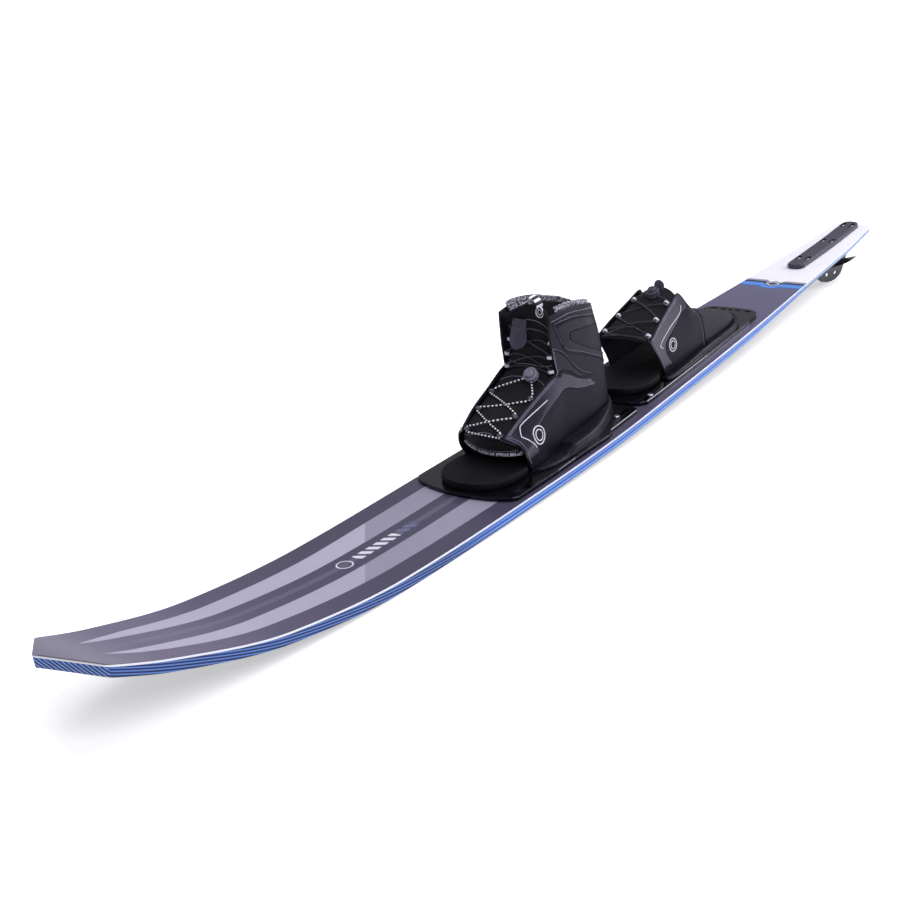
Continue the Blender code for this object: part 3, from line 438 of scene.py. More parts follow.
def turned_skin(profile, centre, axis, sides=48, flutes=0, depth=0.0, band=(0, 0)):
    """A lathe form about an axis. Flutes press into the profile's rows inside the band."""
    along = unit(np.asarray(axis, float))
    across = unit(np.cross(along, (0.31, 0.17, 0.93) if abs(along[2]) < 0.9 else (1, 0, 0)))
    third = np.cross(along, across)
    turn = np.arange(sides) * 2 * math.pi / sides
    away = across[None] * np.cos(turn)[:, None] + third[None] * np.sin(turn)[:, None]
    rows, measure = [], []
    for radius, height in profile:
        dent = depth * (0.5 + 0.5 * np.cos(flutes * turn)) if band[0] <= height <= band[1] else 0.0
        r = np.maximum(radius - dent, 0.0) if radius > 0 else np.zeros(sides)
        rows.append(np.asarray(centre) + along * height + away * np.broadcast_to(r, sides)[:, None])
        measure.append(np.stack(np.broadcast_arrays(turn * max(radius, 0.1), radius, height), -1))
    return np.concatenate(rows), quads(len(profile), sides, ring=True), np.concatenate(measure)


print("stitches and turned forms ready")


# %% [markdown]
# ## The boots' surfaces
# A boot's upper is a wall bent round the foot. Four rows of guides, from the plate to the lace edge, give its shape
# at twelve places from heel to toe, and everything on the boot is then placed by how far round (u) and how far up
# (v) it lies. The tongue is a second surface that spans the lace edges, with a along it and t across it.
# %% Walls
# Heights over the deck: the gap under a plate, and the plate's top with the gap above it, where the boots start.
GAP = 0.3
SEAT = 5.6
WALL_THICK = 3.0
BOTH = (1, -1)


class Wall:
    """The outer face of an upper. u counts guides from the heel, negative on the far side, and v rises to 1."""

    def __init__(self, rows, heights, flare):
        count = len(rows[0])
        self.us = np.arange(1 - count, count)
        self.vs = heights
        self.grid = []
        for row, share in zip(rows, (0.0, 0.15, 0.65, 1.0)):
            far = [(x, -y - out * share, z + up * share) for (x, y, z), (out, up) in zip(row, flare)]
            self.grid.append(np.array(far[:0:-1] + list(row), float))

    def spot(self, u, v):
        """Points on the outer face."""
        return glide(self.vs, np.stack([glide(self.us, row, u) for row in self.grid]), v)

    def out(self, u, v):
        """Directions off the outer face."""
        du = self.spot(u + 0.02, v) - self.spot(u - 0.02, v)
        dv = self.spot(u, v + 0.01) - self.spot(u, v - 0.01)
        return unit(np.cross(dv, du))

    def lifted(self, u, v, by):
        """Points off the outer face, none of them lower than the seat on the plate."""
        u, v, by = (np.array(g, float).ravel() for g in np.broadcast_arrays(u, v, by))
        spots = self.spot(u, v) + self.out(u, v) * by[:, None]
        spots[:, 2] = np.maximum(spots[:, 2], SEAT)
        return spots


print("walls ready; the seat is", SEAT, "mm over the deck")


# %% Tongues
class Tongue:
    """The padded sheet between two lace edges. a runs along it from the front, and t across it from -1 to 1."""

    def __init__(self, wall, edges, middles, depth):
        self.knots = np.arange(len(edges))
        self.middle = np.array(middles, float)
        u, v = np.array(edges, float).T
        by = -depth - np.where(u < 6.5, 1.3, 0.0)
        self.edge = {side: wall.lifted(side * u, v, by) for side in BOTH}

    def spot(self, a, t):
        """Points on the tongue's outer face."""
        middle = glide(self.knots, self.middle, a)
        near, far = (glide(self.knots, self.edge[side], a) for side in BOTH)
        edge = np.where(t[:, None] >= 0, near, far)
        bend = np.abs(t)[:, None] ** 2.2
        spots = middle + (edge - middle) * bend
        spots[:, 1] = edge[:, 1] * np.abs(t)
        return spots

    def out(self, a, t):
        """Directions off that face."""
        da = self.spot(a + 0.03, t) - self.spot(a - 0.03, t)
        dt = self.spot(a, t + 0.03) - self.spot(a, t - 0.03)
        return unit(np.cross(dt, da))

    def lifted(self, a, t, by):
        """Points off that face."""
        a, t, by = (np.array(g, float).ravel() for g in np.broadcast_arrays(a, t, by))
        return self.spot(a, t) + self.out(a, t) * by[:, None]


print("tongues ready")


# %% The front boot's guides
def guides(text):
    """Guide points written as 'x y z' groups, one after the other."""
    return np.array([[float(n) for n in group.split()] for group in text.split(",")])


def wall_from(base, low, high, rim, shares, flare):
    """A wall from four rows of guides; the base row's height is the seat's."""
    base = np.hstack([guides(base), np.full((12, 1), SEAT)])
    return Wall([base, guides(low), guides(high), guides(rim)], shares, flare)


base = "801 0,806.5 22,825 37.5,860 44,885 45.2,905 45.6,920 46,930 46.8,945 48,970 50,995 50.8,1016 51"
low = "798 0 45,803.5 22 45,822 36 45,860 40.5 45,883 41 45,900 41.3 45,915 41.5 44,926 41.8 42,942 43.3 41"
low += ",968 46 38,996 49.5 34,1025 53 30"
high = "797 0 95,803 21 95,820 33 95,850 38 95,876 39 95,893 39.5 93,908 39.5 84,919 40 74,937 41.7 68"
high += ",966 43 60,996 44.5 52,1027 47.5 43"
rim_row = "806 0 150,815 22 157,829 32 162,860 42 171,900 43 178,929 40 178,930 39 140,925 38.5 104,940 37 97"
rim_row += ",970 35 85,1003 33 72,1038 29 54"
# How much further out and up the far side of the wall reaches at its rim, guide by guide.
FLARE = [(0, 0)] * 5 + [(-1, 0), (2, 0), (6, 2), (6, 4), (5.5, 4), (5.5, 4), (5.5, 3)]
BOOT = wall_from(base, low, high, rim_row, [0.0, 0.3, 0.62, 1.0], FLARE)
TONGUE_DEPTH = WALL_THICK + 1.2
edges = "10.8 .42,10.8 .66,10.8 .9,10 .9,9 .9,8 .9,7 .9,6 .88,5.2 .86,5 .97"
middles = "1030 0 29.5,1035 0 43,1035 0 56,1006 0 71.5,971 0 81,944 0 93,932 0 107,925 0 133,915 0 163,908 0 184"
FRONT_TONGUE = Tongue(BOOT, guides(edges), guides(middles), TONGUE_DEPTH)
cuff = to_row(BOOT.spot(np.array([5.0]), np.array([1.0])))[0]
# %% The rear boot's guides
base = "470 0,475 22,492 38,520 44,550 45.5,575 46,590 46,605 46.5,625 46.5,645 46.5,668 46,691 45"
low = "468 0 12,473 22 14,490 39 18,520 44.5 24,550 45.5 28,575 45.5 32,590 45.3 34,605 45.2 38,628 45 40"
low += ",652 44.6 40,680 44.6 38,703 45.2 36"
high = "474 0 19,478 18 22,496 32 30,524 37 40,553 40.5 48,577 42 54,591 42.5 56,606 42 62,626 39 72"
high += ",652 40 70,686 42.5 62,713 45 53"
rim_row = "490 0 20,493 12 24,507 21 34,530 28 45,556 33 55,578 36.5 63,592 38 67,606 36.5 83,622 32 103"
rim_row += ",650 35 94,690 40 80,720 44 67"
LOW_BOOT = wall_from(base, low, high, rim_row, [0.0, 0.3, 0.68, 1.0], [(0, 0)] * 12)
middles = "716 0 66,690 0 80,654 0 93,628 0 101,612 0 106"
REAR_TONGUE = Tongue(LOW_BOOT, guides("10.9 .9,10 .9,9 .9,8.3 .9,7.9 .94"), guides(middles), TONGUE_DEPTH)
print("rear boot from", LOW_BOOT.grid[0][:, 0].min(), "to", LOW_BOOT.grid[0][:, 0].max(), "mm from the tail")

# %% [markdown]
# ## The ski blank
# The real blank is a foam core in a laminate, pressed in a mould, with a printed top sheet and stripes of colour
# along its side wall. It is one lofted form, so one skin over many cross sections makes it, and a finer skin than
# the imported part's shows a clean nose. Each point keeps its distance from the nose, its side and its depth under
# the deck, which is all that the printed graphics need.
# %% The blank's cross section
# How tall the side wall is, by the distance from the nose.
WALL_REACH = [0, 60, 110, 230, 320, 420, 560, 780, 1210, 1320, 1410, 1702]
WALL_TALL = [15.0, 16.2, 16.2, 15.0, 15.8, 15.6, 15.0, 13.8, 13.7, 11.0, 9.0, 8.0]
BEVEL_RISE = 1.6
ROUNDED_TOP = 2.0
TUNNEL_DEPTH, TUNNEL_FROM = 2.4, 160
DECK_STEPS, WALL_STEPS = 30, 9


def blank_section(half, tall, hollow):
    """Half of the cross section: out along the deck, down the side wall and in along the base. Base points lie
    under deck points, so that the ends can be closed."""
    chamfer, bevel = min(1.5, 0.1 * tall), min(5.0, 0.12 * half)
    edge = half - bevel * np.array([1, 0.6, 0.35, 0.18, 0.07, 0])
    across = np.concatenate([np.linspace(0, half - bevel, DECK_STEPS)[:-1], edge])
    rounded = np.clip((across - half + ROUNDED_TOP) / ROUNDED_TOP, 0, 1)
    deck_depth = chamfer * (1 - np.sqrt(1 - rounded**2))
    tunnel = np.clip((0.76 * half - across) / (0.12 * half), 0, 1)
    tunnel = hollow * tunnel * tunnel * (3 - 2 * tunnel)
    turned_up = BEVEL_RISE * np.clip((across - half + bevel) / bevel, 0, 1) ** 1.6
    base_depth = tall - tunnel - turned_up
    wall = np.linspace(deck_depth[-1], base_depth[-1], WALL_STEPS)[1:-1]
    down = np.column_stack([np.full(len(wall), half), wall])
    under = np.column_stack([across, base_depth])[::-1]
    return np.concatenate([np.column_stack([across, deck_depth]), down, under])


print("points in half a section:", len(blank_section(SKI_HALF_WIDTH, WALL_TALL[0], 0.0)))
# %% The blank's skin
NOSE_SWEEP = 41.5 / 61
SWEEP_ENDS, NOSE_EASED, TAIL_ROUND, TAIL_IN = 238, 7, 16, 11.0

stations = np.unique(np.concatenate([crowded(0, 12, 7), np.linspace(12, 420, 86), np.linspace(420, 1688, 150)]))
stations = np.concatenate([stations, [1693, 1696, 1698, 1699.5, 1700.7, 1701.5, 1702]])
points, lays = [], []
for reach in stations:
    x = SKI_LENGTH - reach
    half = SKI_HALF_WIDTH * glide(REACH, WIDTH, reach)[0]
    tall = np.interp(reach, WALL_REACH, WALL_TALL)
    if reach < NOSE_EASED:
        half *= 1 - 0.035 * (1 - reach / NOSE_EASED) ** 2
        tall *= 1 - 0.1 * (1 - reach / NOSE_EASED) ** 2
    if x < TAIL_ROUND:
        half -= TAIL_IN * (1 - math.sqrt(1 - (1 - x / TAIL_ROUND) ** 2 * 0.998))
    section = blank_section(half, tall, TUNNEL_DEPTH * min(1.0, reach / TUNNEL_FROM))
    ring = np.concatenate([section, section[-2:0:-1] * (-1, 1)])
    rings = [ring]
    if reach in (stations[0], stations[-1]):
        shut = np.column_stack([ring[:, 0], np.full(len(ring), tall / 2)])
        rings = [shut, ring] if reach == stations[0] else [ring, shut]
    sweep = NOSE_SWEEP * max(0.0, 1 - reach / SWEEP_ENDS)
    for ring in rings:
        at = x - sweep * np.abs(ring[:, 0])
        points.append(np.stack([at, ring[:, 0], -ring[:, 1]], 1))
        lays.append(np.stack([SKI_LENGTH - at, ring[:, 0], ring[:, 1]], 1))
around = len(points[0])
ski_form = (np.concatenate(points), quads(len(points), around, ring=True), np.concatenate(lays))
print("blank", len(ski_form[0]), "points,", around, "round each of", len(stations), "sections")

# %% [markdown]
# ### Printed top sheet
# A nylon sheet printed from behind and pressed onto the laminate: a smooth, clear gloss over flat ink. The print is
# worked out from each point's distance from the nose, side and depth, so its edges stay sharp at any distance. The
# side wall's stripes are the colours of the layers in the cap, which is why they keep one depth all the way round.
# %% The deck's print
# The clear nylon over dark ink gives its reflections a violet cast.
VIOLET_GLOSS = linear("#c6c1ea")
PRINT, tree, shader = finish("printed_nylon_topsheet", Roughness=0.34, Specular_IOR_Level=0.25,
                             Specular_Tint=VIOLET_GLOSS, Coat_Weight=0.25, Coat_Roughness=0.09)
reach, side, depth = place_on(tree)
aside = add(tree, "Math", [side], operation="ABSOLUTE")
# The ground fades from colour to colour, each given at its distance from the nose. It is partly the print's own tone
# and partly a painted reflection, which makes the deck paler towards the nose, where it is seen at a grazing angle.
ground = [(20, "#655f78"), (120, "#625a76"), (200, "#5a5470"), (300, "#4d4960"), (400, "#474359")]
ground += [(580, "#464257"), (1000, "#4c485e"), (1300, "#5a5670"), (1384, "#5d5973")]
middle = both(tree, step_at(tree, aside, 4.5, -2.0), between(tree, reach, 95, 640, 60))

# Two pale bands widen from the nose; past a slanted edge they turn into fine lines.
BAND_FROM, BAND_TO, BAND_IN, WIDEST = 62, 690, 20, 100.0
outer_edge = [(62, 21), (75, 26), (90, 31), (119, 37), (158, 42), (203, 46), (240, 48), (284, 50), (330, 51.5)]
outer_edge += [(379, 53), (430, 54.5), (474, 56), (600, 57)]
outer = ramp(tree, reach, 700, [(place, width / WIDEST) for place, width in outer_edge])
outer = add(tree, "Math", [outer, WIDEST], operation="MULTIPLY")
band = both(tree, between(tree, aside, BAND_IN, outer, 0.5), between(tree, reach, BAND_FROM, BAND_TO, 1.0))
slanted, slant_at = leaning(tree, reach, (1.09, side)), 431
slant = step_at(tree, slanted, slant_at, 0.8)
long_lines = step_at(tree, ridges(tree, side, 3.1), 0.45, 0.5)
cross_lines = step_at(tree, ridges(tree, leaning(tree, reach, (0.35, side)), 4.0), 0.62, 0.5)
grown = both(tree, step_at(tree, reach, 300, 220), step_at(tree, side, 0, 1))
grown = both(tree, grown, step_at(tree, slanted, slant_at, -0.8), 0.55)
deck_ink = layered(
    tree,
    ramp(tree, reach, SKI_LENGTH, ground),
    (both(tree, middle, 0.4), "#77748a"),
    (band, "#b6b2c6"),
    (both(tree, band, cross_lines, grown), "#8d8a9e"),
    (both(tree, band, slant), "#767388"),
    (both(tree, band, slant, long_lines), "#aeabbd"),
)
print("deck ink: bands from", BAND_FROM, "to", BAND_TO, "mm from the nose")
# %% The plain mark and the tail's stripes
MARK_AT, DASHES_AT, DIM_DASHES_AT, DASHES_END = 397.0, 416, 487, 520
TAIL_AT, LOZENGE_AT, DIP = 1383.5, 1408.0, 7.0
ringed = add(tree, "CombineXYZ", [reach, side])
from_mark = add(tree, "VectorMath", [ringed, (MARK_AT, 0.0, 0.0)], "Value", operation="DISTANCE")
dashes = step_at(tree, ridges(tree, leaning(tree, reach, (-0.5, side)), 13.0), 0.42, 0.12)
dashes = both(tree, dashes, step_at(tree, aside, 7.0, -0.5))
dip = add(tree, "Math", [16.0, aside], operation="SUBTRACT")
dip = add(tree, "Math", [dip, 0.0], operation="MAXIMUM")
dip = add(tree, "Math", [dip, DIP], operation="MINIMUM")
tail_reach = leaning(tree, reach, (1.0, dip))
tail_inks = [(0, "#5f5d73"), (1384, "#43425c"), (1388, "#4c5a8a"), (1391, "#4a86de"), (1403, "#eef1fa")]
tail_inks += [(1409, "#1d1d29"), (1416, "#8b8ca2"), (1419, "#f3f1f8")]
lozenge = add(tree, "Math", [reach, LOZENGE_AT], operation="SUBTRACT")
lozenge = leaning(tree, add(tree, "Math", [lozenge], operation="ABSOLUTE"), (0.75, aside))
nose_edge = leaning(tree, reach, (-0.68, aside))
deck_ink = layered(
    tree,
    deck_ink,
    (between(tree, from_mark, 8.6, 10.4, 0.5), "#e6e6ee"),
    (both(tree, dashes, between(tree, reach, DASHES_AT, DIM_DASHES_AT - 1, 0.5)), "#e6e6ee"),
    (both(tree, dashes, between(tree, reach, DIM_DASHES_AT, DASHES_END, 0.5)), "#6a6f8e"),
    (step_at(tree, tail_reach, TAIL_AT, 0.5), ramp(tree, tail_reach, SKI_LENGTH, tail_inks, held=True)),
    (step_at(tree, lozenge, 12.5, -0.5), "#3c3d4d"),
    (between(tree, lozenge, 7.5, 9.5, 0.5), "#eceef6"),
    (both(tree, step_at(tree, nose_edge, 5.0, -0.6), step_at(tree, side, 2, 2)), "#020203"),
)
print("tail stripes from", TAIL_AT, "mm from the nose")
# %% The side wall's stripes
# Each ink of the side wall starts at its depth under the deck and holds to the next.
TALLEST = 16
wall_inks = [(0, "#3a3a52"), (0.25, "#dfe4f2"), (2.2, "#3f63ad"), (3.6, "#5c8fe6"), (6.4, "#1f4294")]
wall_inks += [(8.4, "#6aa2f0"), (11.2, "#2a4689"), (12.8, "#4e69ab")]
nose_inks = [(0, "#30324a"), (0.25, "#f1f3fa"), (2.3, "#182a5c"), (6.0, "#152652"), (12, "#111f46")]
tail_walls = [(0, "#e8e8f0"), (1.2, "#8ea9ce"), (5.6, "#1d2748")]
streaks = step_at(tree, ridges(tree, leaning(tree, depth, (-0.06, reach)), 3.5), 0.6, 0.3)
hatch = step_at(tree, ridges(tree, leaning(tree, side, (-0.9, depth)), 4.5), 0.6, 0.3)
below_line = step_at(tree, depth, 2.5, 0.2)
past_nose = both(tree, step_at(tree, nose_edge, 1.2, 0.8), step_at(tree, reach, 520, -260))
facing = add(tree, "SeparateXYZ", [add(tree, "NewGeometry", {}, "Normal")], 2)
wall_ink = layered(
    tree,
    ramp(tree, depth, TALLEST, nose_inks, held=True),
    (both(tree, streaks, below_line, past_nose), "#5f8ad6"),
    (both(tree, hatch, below_line, step_at(tree, nose_edge, 1.2, -0.8)), "#7ba3ea"),
    (step_at(tree, reach, 520, 110), ramp(tree, depth, TALLEST, wall_inks, held=True)),
    (step_at(tree, reach, 1419, 1), ramp(tree, depth, TALLEST, tail_walls, held=True)),
    (step_at(tree, facing, -0.6, -0.2), "#2b3046"),
)
# The ink's fine grain is about a tenth of a millimetre, drawn at 0.9 mm so that it breaks the gloss in the picture.
grain = mottle(tree, 0.9)
cloud = both(tree, mottle(tree, 45.0), 0.12)
whole = layered(tree, deck_ink, (step_at(tree, depth, 0.2, 0.12), wall_ink), (cloud, "#3d3b4c"))
surfaced(tree, shader, whole, grain, 0.2, 0.00003, (grain, 0.26, 0.44))
ski = piece("ski", ski_form, PRINT, "ski", ["ski_blank"], sharp=50)

# %% [markdown]
# ### The slot for the fin
# The fin's stem stands in a slot milled through the tail. A cutter with square ends takes it out of the blank.
# %% Mill the slot
SLOT_MIDDLE, SLOT_LONG, SLOT_WIDE, CUTTER_TALL = 118, 163.2, 2.7, 60
slot_form = bmesh.new()
bmesh.ops.create_cube(slot_form, size=1.0)
for corner in slot_form.verts:
    x, y, z = corner.co
    corner.co = Vector((SLOT_MIDDLE + x * SLOT_LONG, y * SLOT_WIDE, z * CUTTER_TALL))
slot_mesh = bpy.data.meshes.new("slot_cutter")
slot_form.to_mesh(slot_mesh)
slot_form.free()
slot_mesh.transform(STANCE @ Matrix.Scale(MM, 4))
cutter = bpy.data.objects.new("slot_cutter", slot_mesh)
bpy.context.scene.collection.objects.link(cutter)
milled = ski.modifiers.new("fin_slot", "BOOLEAN")
milled.operation, milled.solver, milled.object = "DIFFERENCE", "EXACT", cutter
with bpy.context.temp_override(object=ski, active_object=ski, selected_objects=[ski]):
    bpy.ops.object.modifier_apply(modifier="fin_slot")
bpy.data.objects.remove(cutter, do_unlink=True)
print("blank with its slot:", len(ski.data.polygons), "faces")

# %% [markdown]
# ## Finishes for the boots and bindings
# Boots like these are cut from foam backed synthetic leather, with a glossy film welded over the places that rub,
# moulded rubber at the heel, knitted lining and braided cord. Each finish below starts from how its material is
# made, and its patterns are set in millimetres.
# %% Coated synthetic leather: a fine pebble grain, with a printed fade of small dots
# The coating is nearly matt, so the dark panels stay deep, and the grain breaks up what little they reflect.
PEBBLE, DOT_PITCH = 1.3, 2.1
UPPER, tree, shader = finish("coated_synthetic_leather", Roughness=0.5, Specular_IOR_Level=0.2,
                             Specular_Tint=VIOLET_GLOSS)
along, across, _ = place_on(tree)
# The printed dots are half a millimetre apart on the boot, and drawn at 2.1 mm so that they show.
dots = step_at(tree, both(tree, ridges(tree, along, DOT_PITCH), ridges(tree, across, DOT_PITCH)), 0.66, 0.2)
faded = add(tree, "MapRange", [mottle(tree, 26.0, 3.0), 0.46, 0.7])
skin = layered(tree, "#0b0a11", (mottle(tree, 14.0), "#15131d"), (both(tree, dots, faded, 0.45), "#4b485a"))
surfaced(tree, shader, skin, cells(tree, PEBBLE), 0.35, 0.00025, (mottle(tree, 5.0, 4.0), 0.4, 0.6))
print(UPPER.name, len(tree.nodes), "nodes")


# %% Welded film: a smooth gloss whose sheen wanders where the heat press left it uneven
def film_finish(name, low, high, rough, gloss=0.45):
    """Polyurethane film, from one colour to another in soft blotches, over a very fine grain."""
    made, tree, shader = finish(name, Roughness=rough, Specular_IOR_Level=gloss, Specular_Tint=VIOLET_GLOSS,
                                Coat_Weight=gloss / 4, Coat_Roughness=0.16)
    blotch = mottle(tree, 26.0)
    skin = layered(tree, low, (blotch, high))
    surfaced(tree, shader, skin, mottle(tree, 1.6), 0.3, 0.00012, (blotch, rough - 0.07, rough + 0.12))
    return made


# A glossier film shows as a paler panel, a matt one only as an edge; the bead is coloured pale as a painted highlight
# along the films' raised edges, and the white print catches the most light.
TRIM = film_finish("welded_gloss_film", "#17151e", "#282632", 0.24)
QUIET_TRIM = film_finish("welded_matt_film", "#09080d", "#111017", 0.42, 0.2)
PAINTED_HIGHLIGHT_BEAD = film_finish("film_bead_painted_highlight", "#4a4757", "#757287", 0.3)
DARK_TRIM = film_finish("welded_black_film", "#030304", "#08070b", 0.5, 0.15)
WHITE_PRINT = film_finish("raised_white_print", "#cfcfd8", "#f1f1f5", 0.45)
print("films:", [look.name for look in (TRIM, QUIET_TRIM, PAINTED_HIGHLIGHT_BEAD, DARK_TRIM, WHITE_PRINT)])


# %% Moulded rubber and plastic: fine pits from the tool's spark eroded grain, paler where they rub
def moulded(name, low, high, rough, grain, depth, coat=0.0, wear="#4a4953", weared=0.25):
    """A moulded material between two colours, with its grain's size in millimetres and its depth in metres."""
    made, tree, shader = finish(name, Roughness=rough, Specular_IOR_Level=0.3, Specular_Tint=VIOLET_GLOSS,
                                Coat_Weight=coat, Coat_Roughness=0.12)
    broad = mottle(tree, 22.0, 4.0)
    rubbed = add(tree, "MapRange", [mottle(tree, 6.0, 5.0), 0.58, 0.72])
    skin = layered(tree, low, (broad, high), (both(tree, rubbed, weared), wear))
    surfaced(tree, shader, skin, mottle(tree, grain, 1.0), 0.4, depth, (broad, rough - 0.06, rough + 0.1))
    return made


# Rubber is matt and takes soft highlights; glass filled nylon has a harder, tighter sheen.
RUBBER = moulded("moulded_rubber", "#0c0c10", "#17161d", 0.45, 1.0, 0.00012)
NYLON_FRAME = moulded("glass_filled_nylon", "#09090c", "#121218", 0.34, 0.8, 0.00008)
# The plates come from a polished tool, which gives them narrow bright reflections along their edges.
GLOSS_PLATE = moulded("gloss_moulded_plate", "#050507", "#0b0b0f", 0.14, 0.9, 0.00003, coat=0.15, weared=0.12)
# Acetal looks waxy and even, and soft rubber a little deeper; both go paler where fingers rub them.
GREY_ACETAL = moulded("grey_acetal", "#6f6c7c", "#878494", 0.4, 0.9, 0.00008, wear="#a3a0b0")
DARK_ACETAL = moulded("dark_acetal", "#3a3844", "#4d4a58", 0.36, 0.9, 0.00008, wear="#6f6c7b")
TAB_GREY = moulded("soft_grey_rubber", "#33313d", "#454250", 0.42, 0.9, 0.0001, wear="#7c7989")
# The fin block is clear coated ABS, so it shines over its grey; the wing's short fibres leave it dull.
BLOCK_ABS = moulded("grey_abs", "#2f2c38", "#3d3a48", 0.3, 0.9, 0.00006, coat=0.25, wear="#6d6a7a")
WING_BLACK = moulded("black_fibre_nylon", "#141419", "#212128", 0.34, 0.9, 0.00006)
# Closed cell foam is all but matt: the small cells of its skin scatter what little light it returns.
FOAM, tree, shader = finish("closed_cell_foam", Roughness=0.68, Specular_IOR_Level=0.15)
skin = layered(tree, "#060509", (mottle(tree, 30.0, 4.0), "#0f0e13"))
surfaced(tree, shader, skin, cells(tree, 1.1), 0.5, 0.0003)
print("moulded looks and foam ready")


# %% [markdown]
# ### Cloth, cord and webbing
# The lining is a two tone knit: black and white yarns show through each other as a heather. The tongue is a dense
# black plain weave. The lower lace is braided from black and white strands, and the others are black.
# %% Knit and weave
def knit(name, dark, pale, pitch, share, fade=()):
    """Rows of slanted stitches, each stitch black or white by chance, as a heathered yarn makes them."""
    made, tree, shader = finish(name, Roughness=0.85, Sheen_Weight=0.15, Sheen_Roughness=0.5)
    along, across, _ = place_on(tree)
    beside = add(tree, "Math", [across], operation="ABSOLUTE")
    row = ridges(tree, leaning(tree, along, (0.9, beside)), pitch)
    white = step_at(tree, leaning(tree, mottle(tree, pitch * 1.5, 1.0), (0.28, row)), share, 0.1)
    # Past an edge across the piece the white yarn is left out, so the knit is painted black there: painted shade.
    if fade:
        white = both(tree, white, step_at(tree, across, *fade))
    skin = layered(tree, dark, (white, pale))
    surfaced(tree, shader, skin, both(tree, row, ridges(tree, across, pitch * 0.8)), 0.7, 0.0005)
    return made


# A knit's open loops scatter the light, so it is the palest and softest thing on the boot.
HEATHER = knit("heathered_knit", "#16141d", "#c9c5d8", 2.2, 0.66)
# The collar's knit shows its heathered yarn within 8 mm of the rim; deeper inside it is painted black, as painted shade
# inside the boot.
COLLAR_SHADE_STEP = (-8.0, 4.0)
COLLAR_KNIT = knit("heathered_collar_knit_painted_shade", "#100f15", "#c9c5d8", 2.2, 0.66, COLLAR_SHADE_STEP)
MESH_CLOTH, tree, shader = finish("black_plain_weave", Roughness=0.8, Specular_IOR_Level=0.2, Sheen_Weight=0.05,
                                  Sheen_Roughness=0.4)
along, across, _ = place_on(tree)
# The real weave has about ten threads a centimetre; six are drawn, so that they show.
THREADS = 1.7
weave = both(tree, ridges(tree, along, THREADS), ridges(tree, across, THREADS))
shade = leaning(tree, mottle(tree, 12.0, 3.0), (0.5, weave))
surfaced(tree, shader, layered(tree, "#060608", (shade, "#14131a")), weave, 0.6, 0.0004)
print("knits and weave ready")


# %% Braid and tape
def braid(name, dark, pale, pitch, share):
    """A braided cord: strands cross in both directions round it, and some of them are pale."""
    made, tree, shader = finish(name, Roughness=0.6, Sheen_Weight=0.2, Sheen_Roughness=0.4)
    along, round_it, _ = place_on(tree)
    strands = [ridges(tree, leaning(tree, along, (way * pitch, round_it)), pitch) for way in BOTH]
    strand = add(tree, "Math", strands, operation="MAXIMUM")
    skin = layered(tree, dark, (step_at(tree, ridges(tree, along, pitch), 1 - share, 0.15), pale))
    surfaced(tree, shader, skin, strand, 0.6, 0.0002)
    return made


def tape(name, dark, pale, pitch, share):
    """Woven tape: ribs across it, and stripes of a second colour where the share asks for them."""
    made, tree, shader = finish(name, Roughness=0.65, Sheen_Weight=0.15, Sheen_Roughness=0.4)
    along, across, _ = place_on(tree)
    skin = layered(tree, dark, (step_at(tree, ridges(tree, across, pitch), 1 - share, 0.12), pale))
    surfaced(tree, shader, skin, ridges(tree, along, 0.9), 0.5, 0.00025)
    return made


# The pale strands are drawn longer than real ones, so that the lower lace reads as black and white.
SPECKLED_CORD = braid("black_white_braid", "#08070a", "#f2f1f8", 5.4, 0.46)
BLACK_CORD = braid("black_braid", "#0c0b10", "#2e2c37", 3.0, 0.3)
PALE_THREAD = braid("pale_thread", "#6a6776", "#a19eb0", 1.4, 0.5)
LOOP_TAPE = tape("grey_lace_tape", "#8f8c9b", "#c9c6d4", 1.6, 0.5)
DARK_LOOP_TAPE = tape("dark_lace_tape", "#26242e", "#4b4957", 1.6, 0.5)
STRIPED_TAPE = tape("black_white_tape", "#0b0a0e", "#f4f3f8", 8.0, 0.46)
print("cords and tapes ready")


# %% Metals: machined, then anodised black or left bright, with fine lines that stretch the highlights
def metal(name, low, high, rough, brush):
    """A metal between two colours; brush is how often its lines change along their own length, in each metre."""
    made, tree, shader = finish(name, Metallic=1.0, Roughness=rough)
    where = add(tree, "TexCoord", {}, "Object")
    place = add(tree, "Mapping", {"Vector": where, "Scale": (brush, 900.0, 900.0)})
    lines = add(tree, "TexNoise", {"Vector": place, "Scale": 1.0, "Detail": 3.0})
    uneven = (lines, rough - 0.08, rough + 0.12)
    surfaced(tree, shader, layered(tree, low, (lines, high)), lines, 0.25, 0.00003, uneven)
    return made


# Bright steel heads show as small glints, and the anodised fin keeps a dark, drawn out highlight.
STEEL = metal("stainless_screw_steel", "#8f8f99", "#c4c4cc", 0.28, 300.0)
ANODISED = metal("black_anodised_aluminium", "#26262d", "#3f3f48", 0.36, 40.0)
print("finishes ready:", len(bpy.data.materials))

# %% [markdown]
# ## The front boot's upper
# Two quarters of foam backed synthetic leather, joined at the heel, are stretched over a last and stitched. A padded
# sheet on the wall's surface, thin at its bound edges and a little full between its seams, gives that. The welded
# films, the printed line, the piping and the stitches are thin pieces of their own on top, because they stand proud
# of the leather and catch the light on their edges.
# %% The padded upper
FRONT_GEAR, REAR_GEAR = "front_binding", "rear_binding"


def full_between(centre_u, centre_v, wide, tall, height):
    """A soft swell round a place on each side of a wall, for the fullness of a panel."""
    def swell(u, v):
        up = ((v - centre_v) / tall) ** 2
        return sum(height * np.exp(-(((u - side * centre_u) / wide) ** 2) - up) for side in BOTH)
    return swell


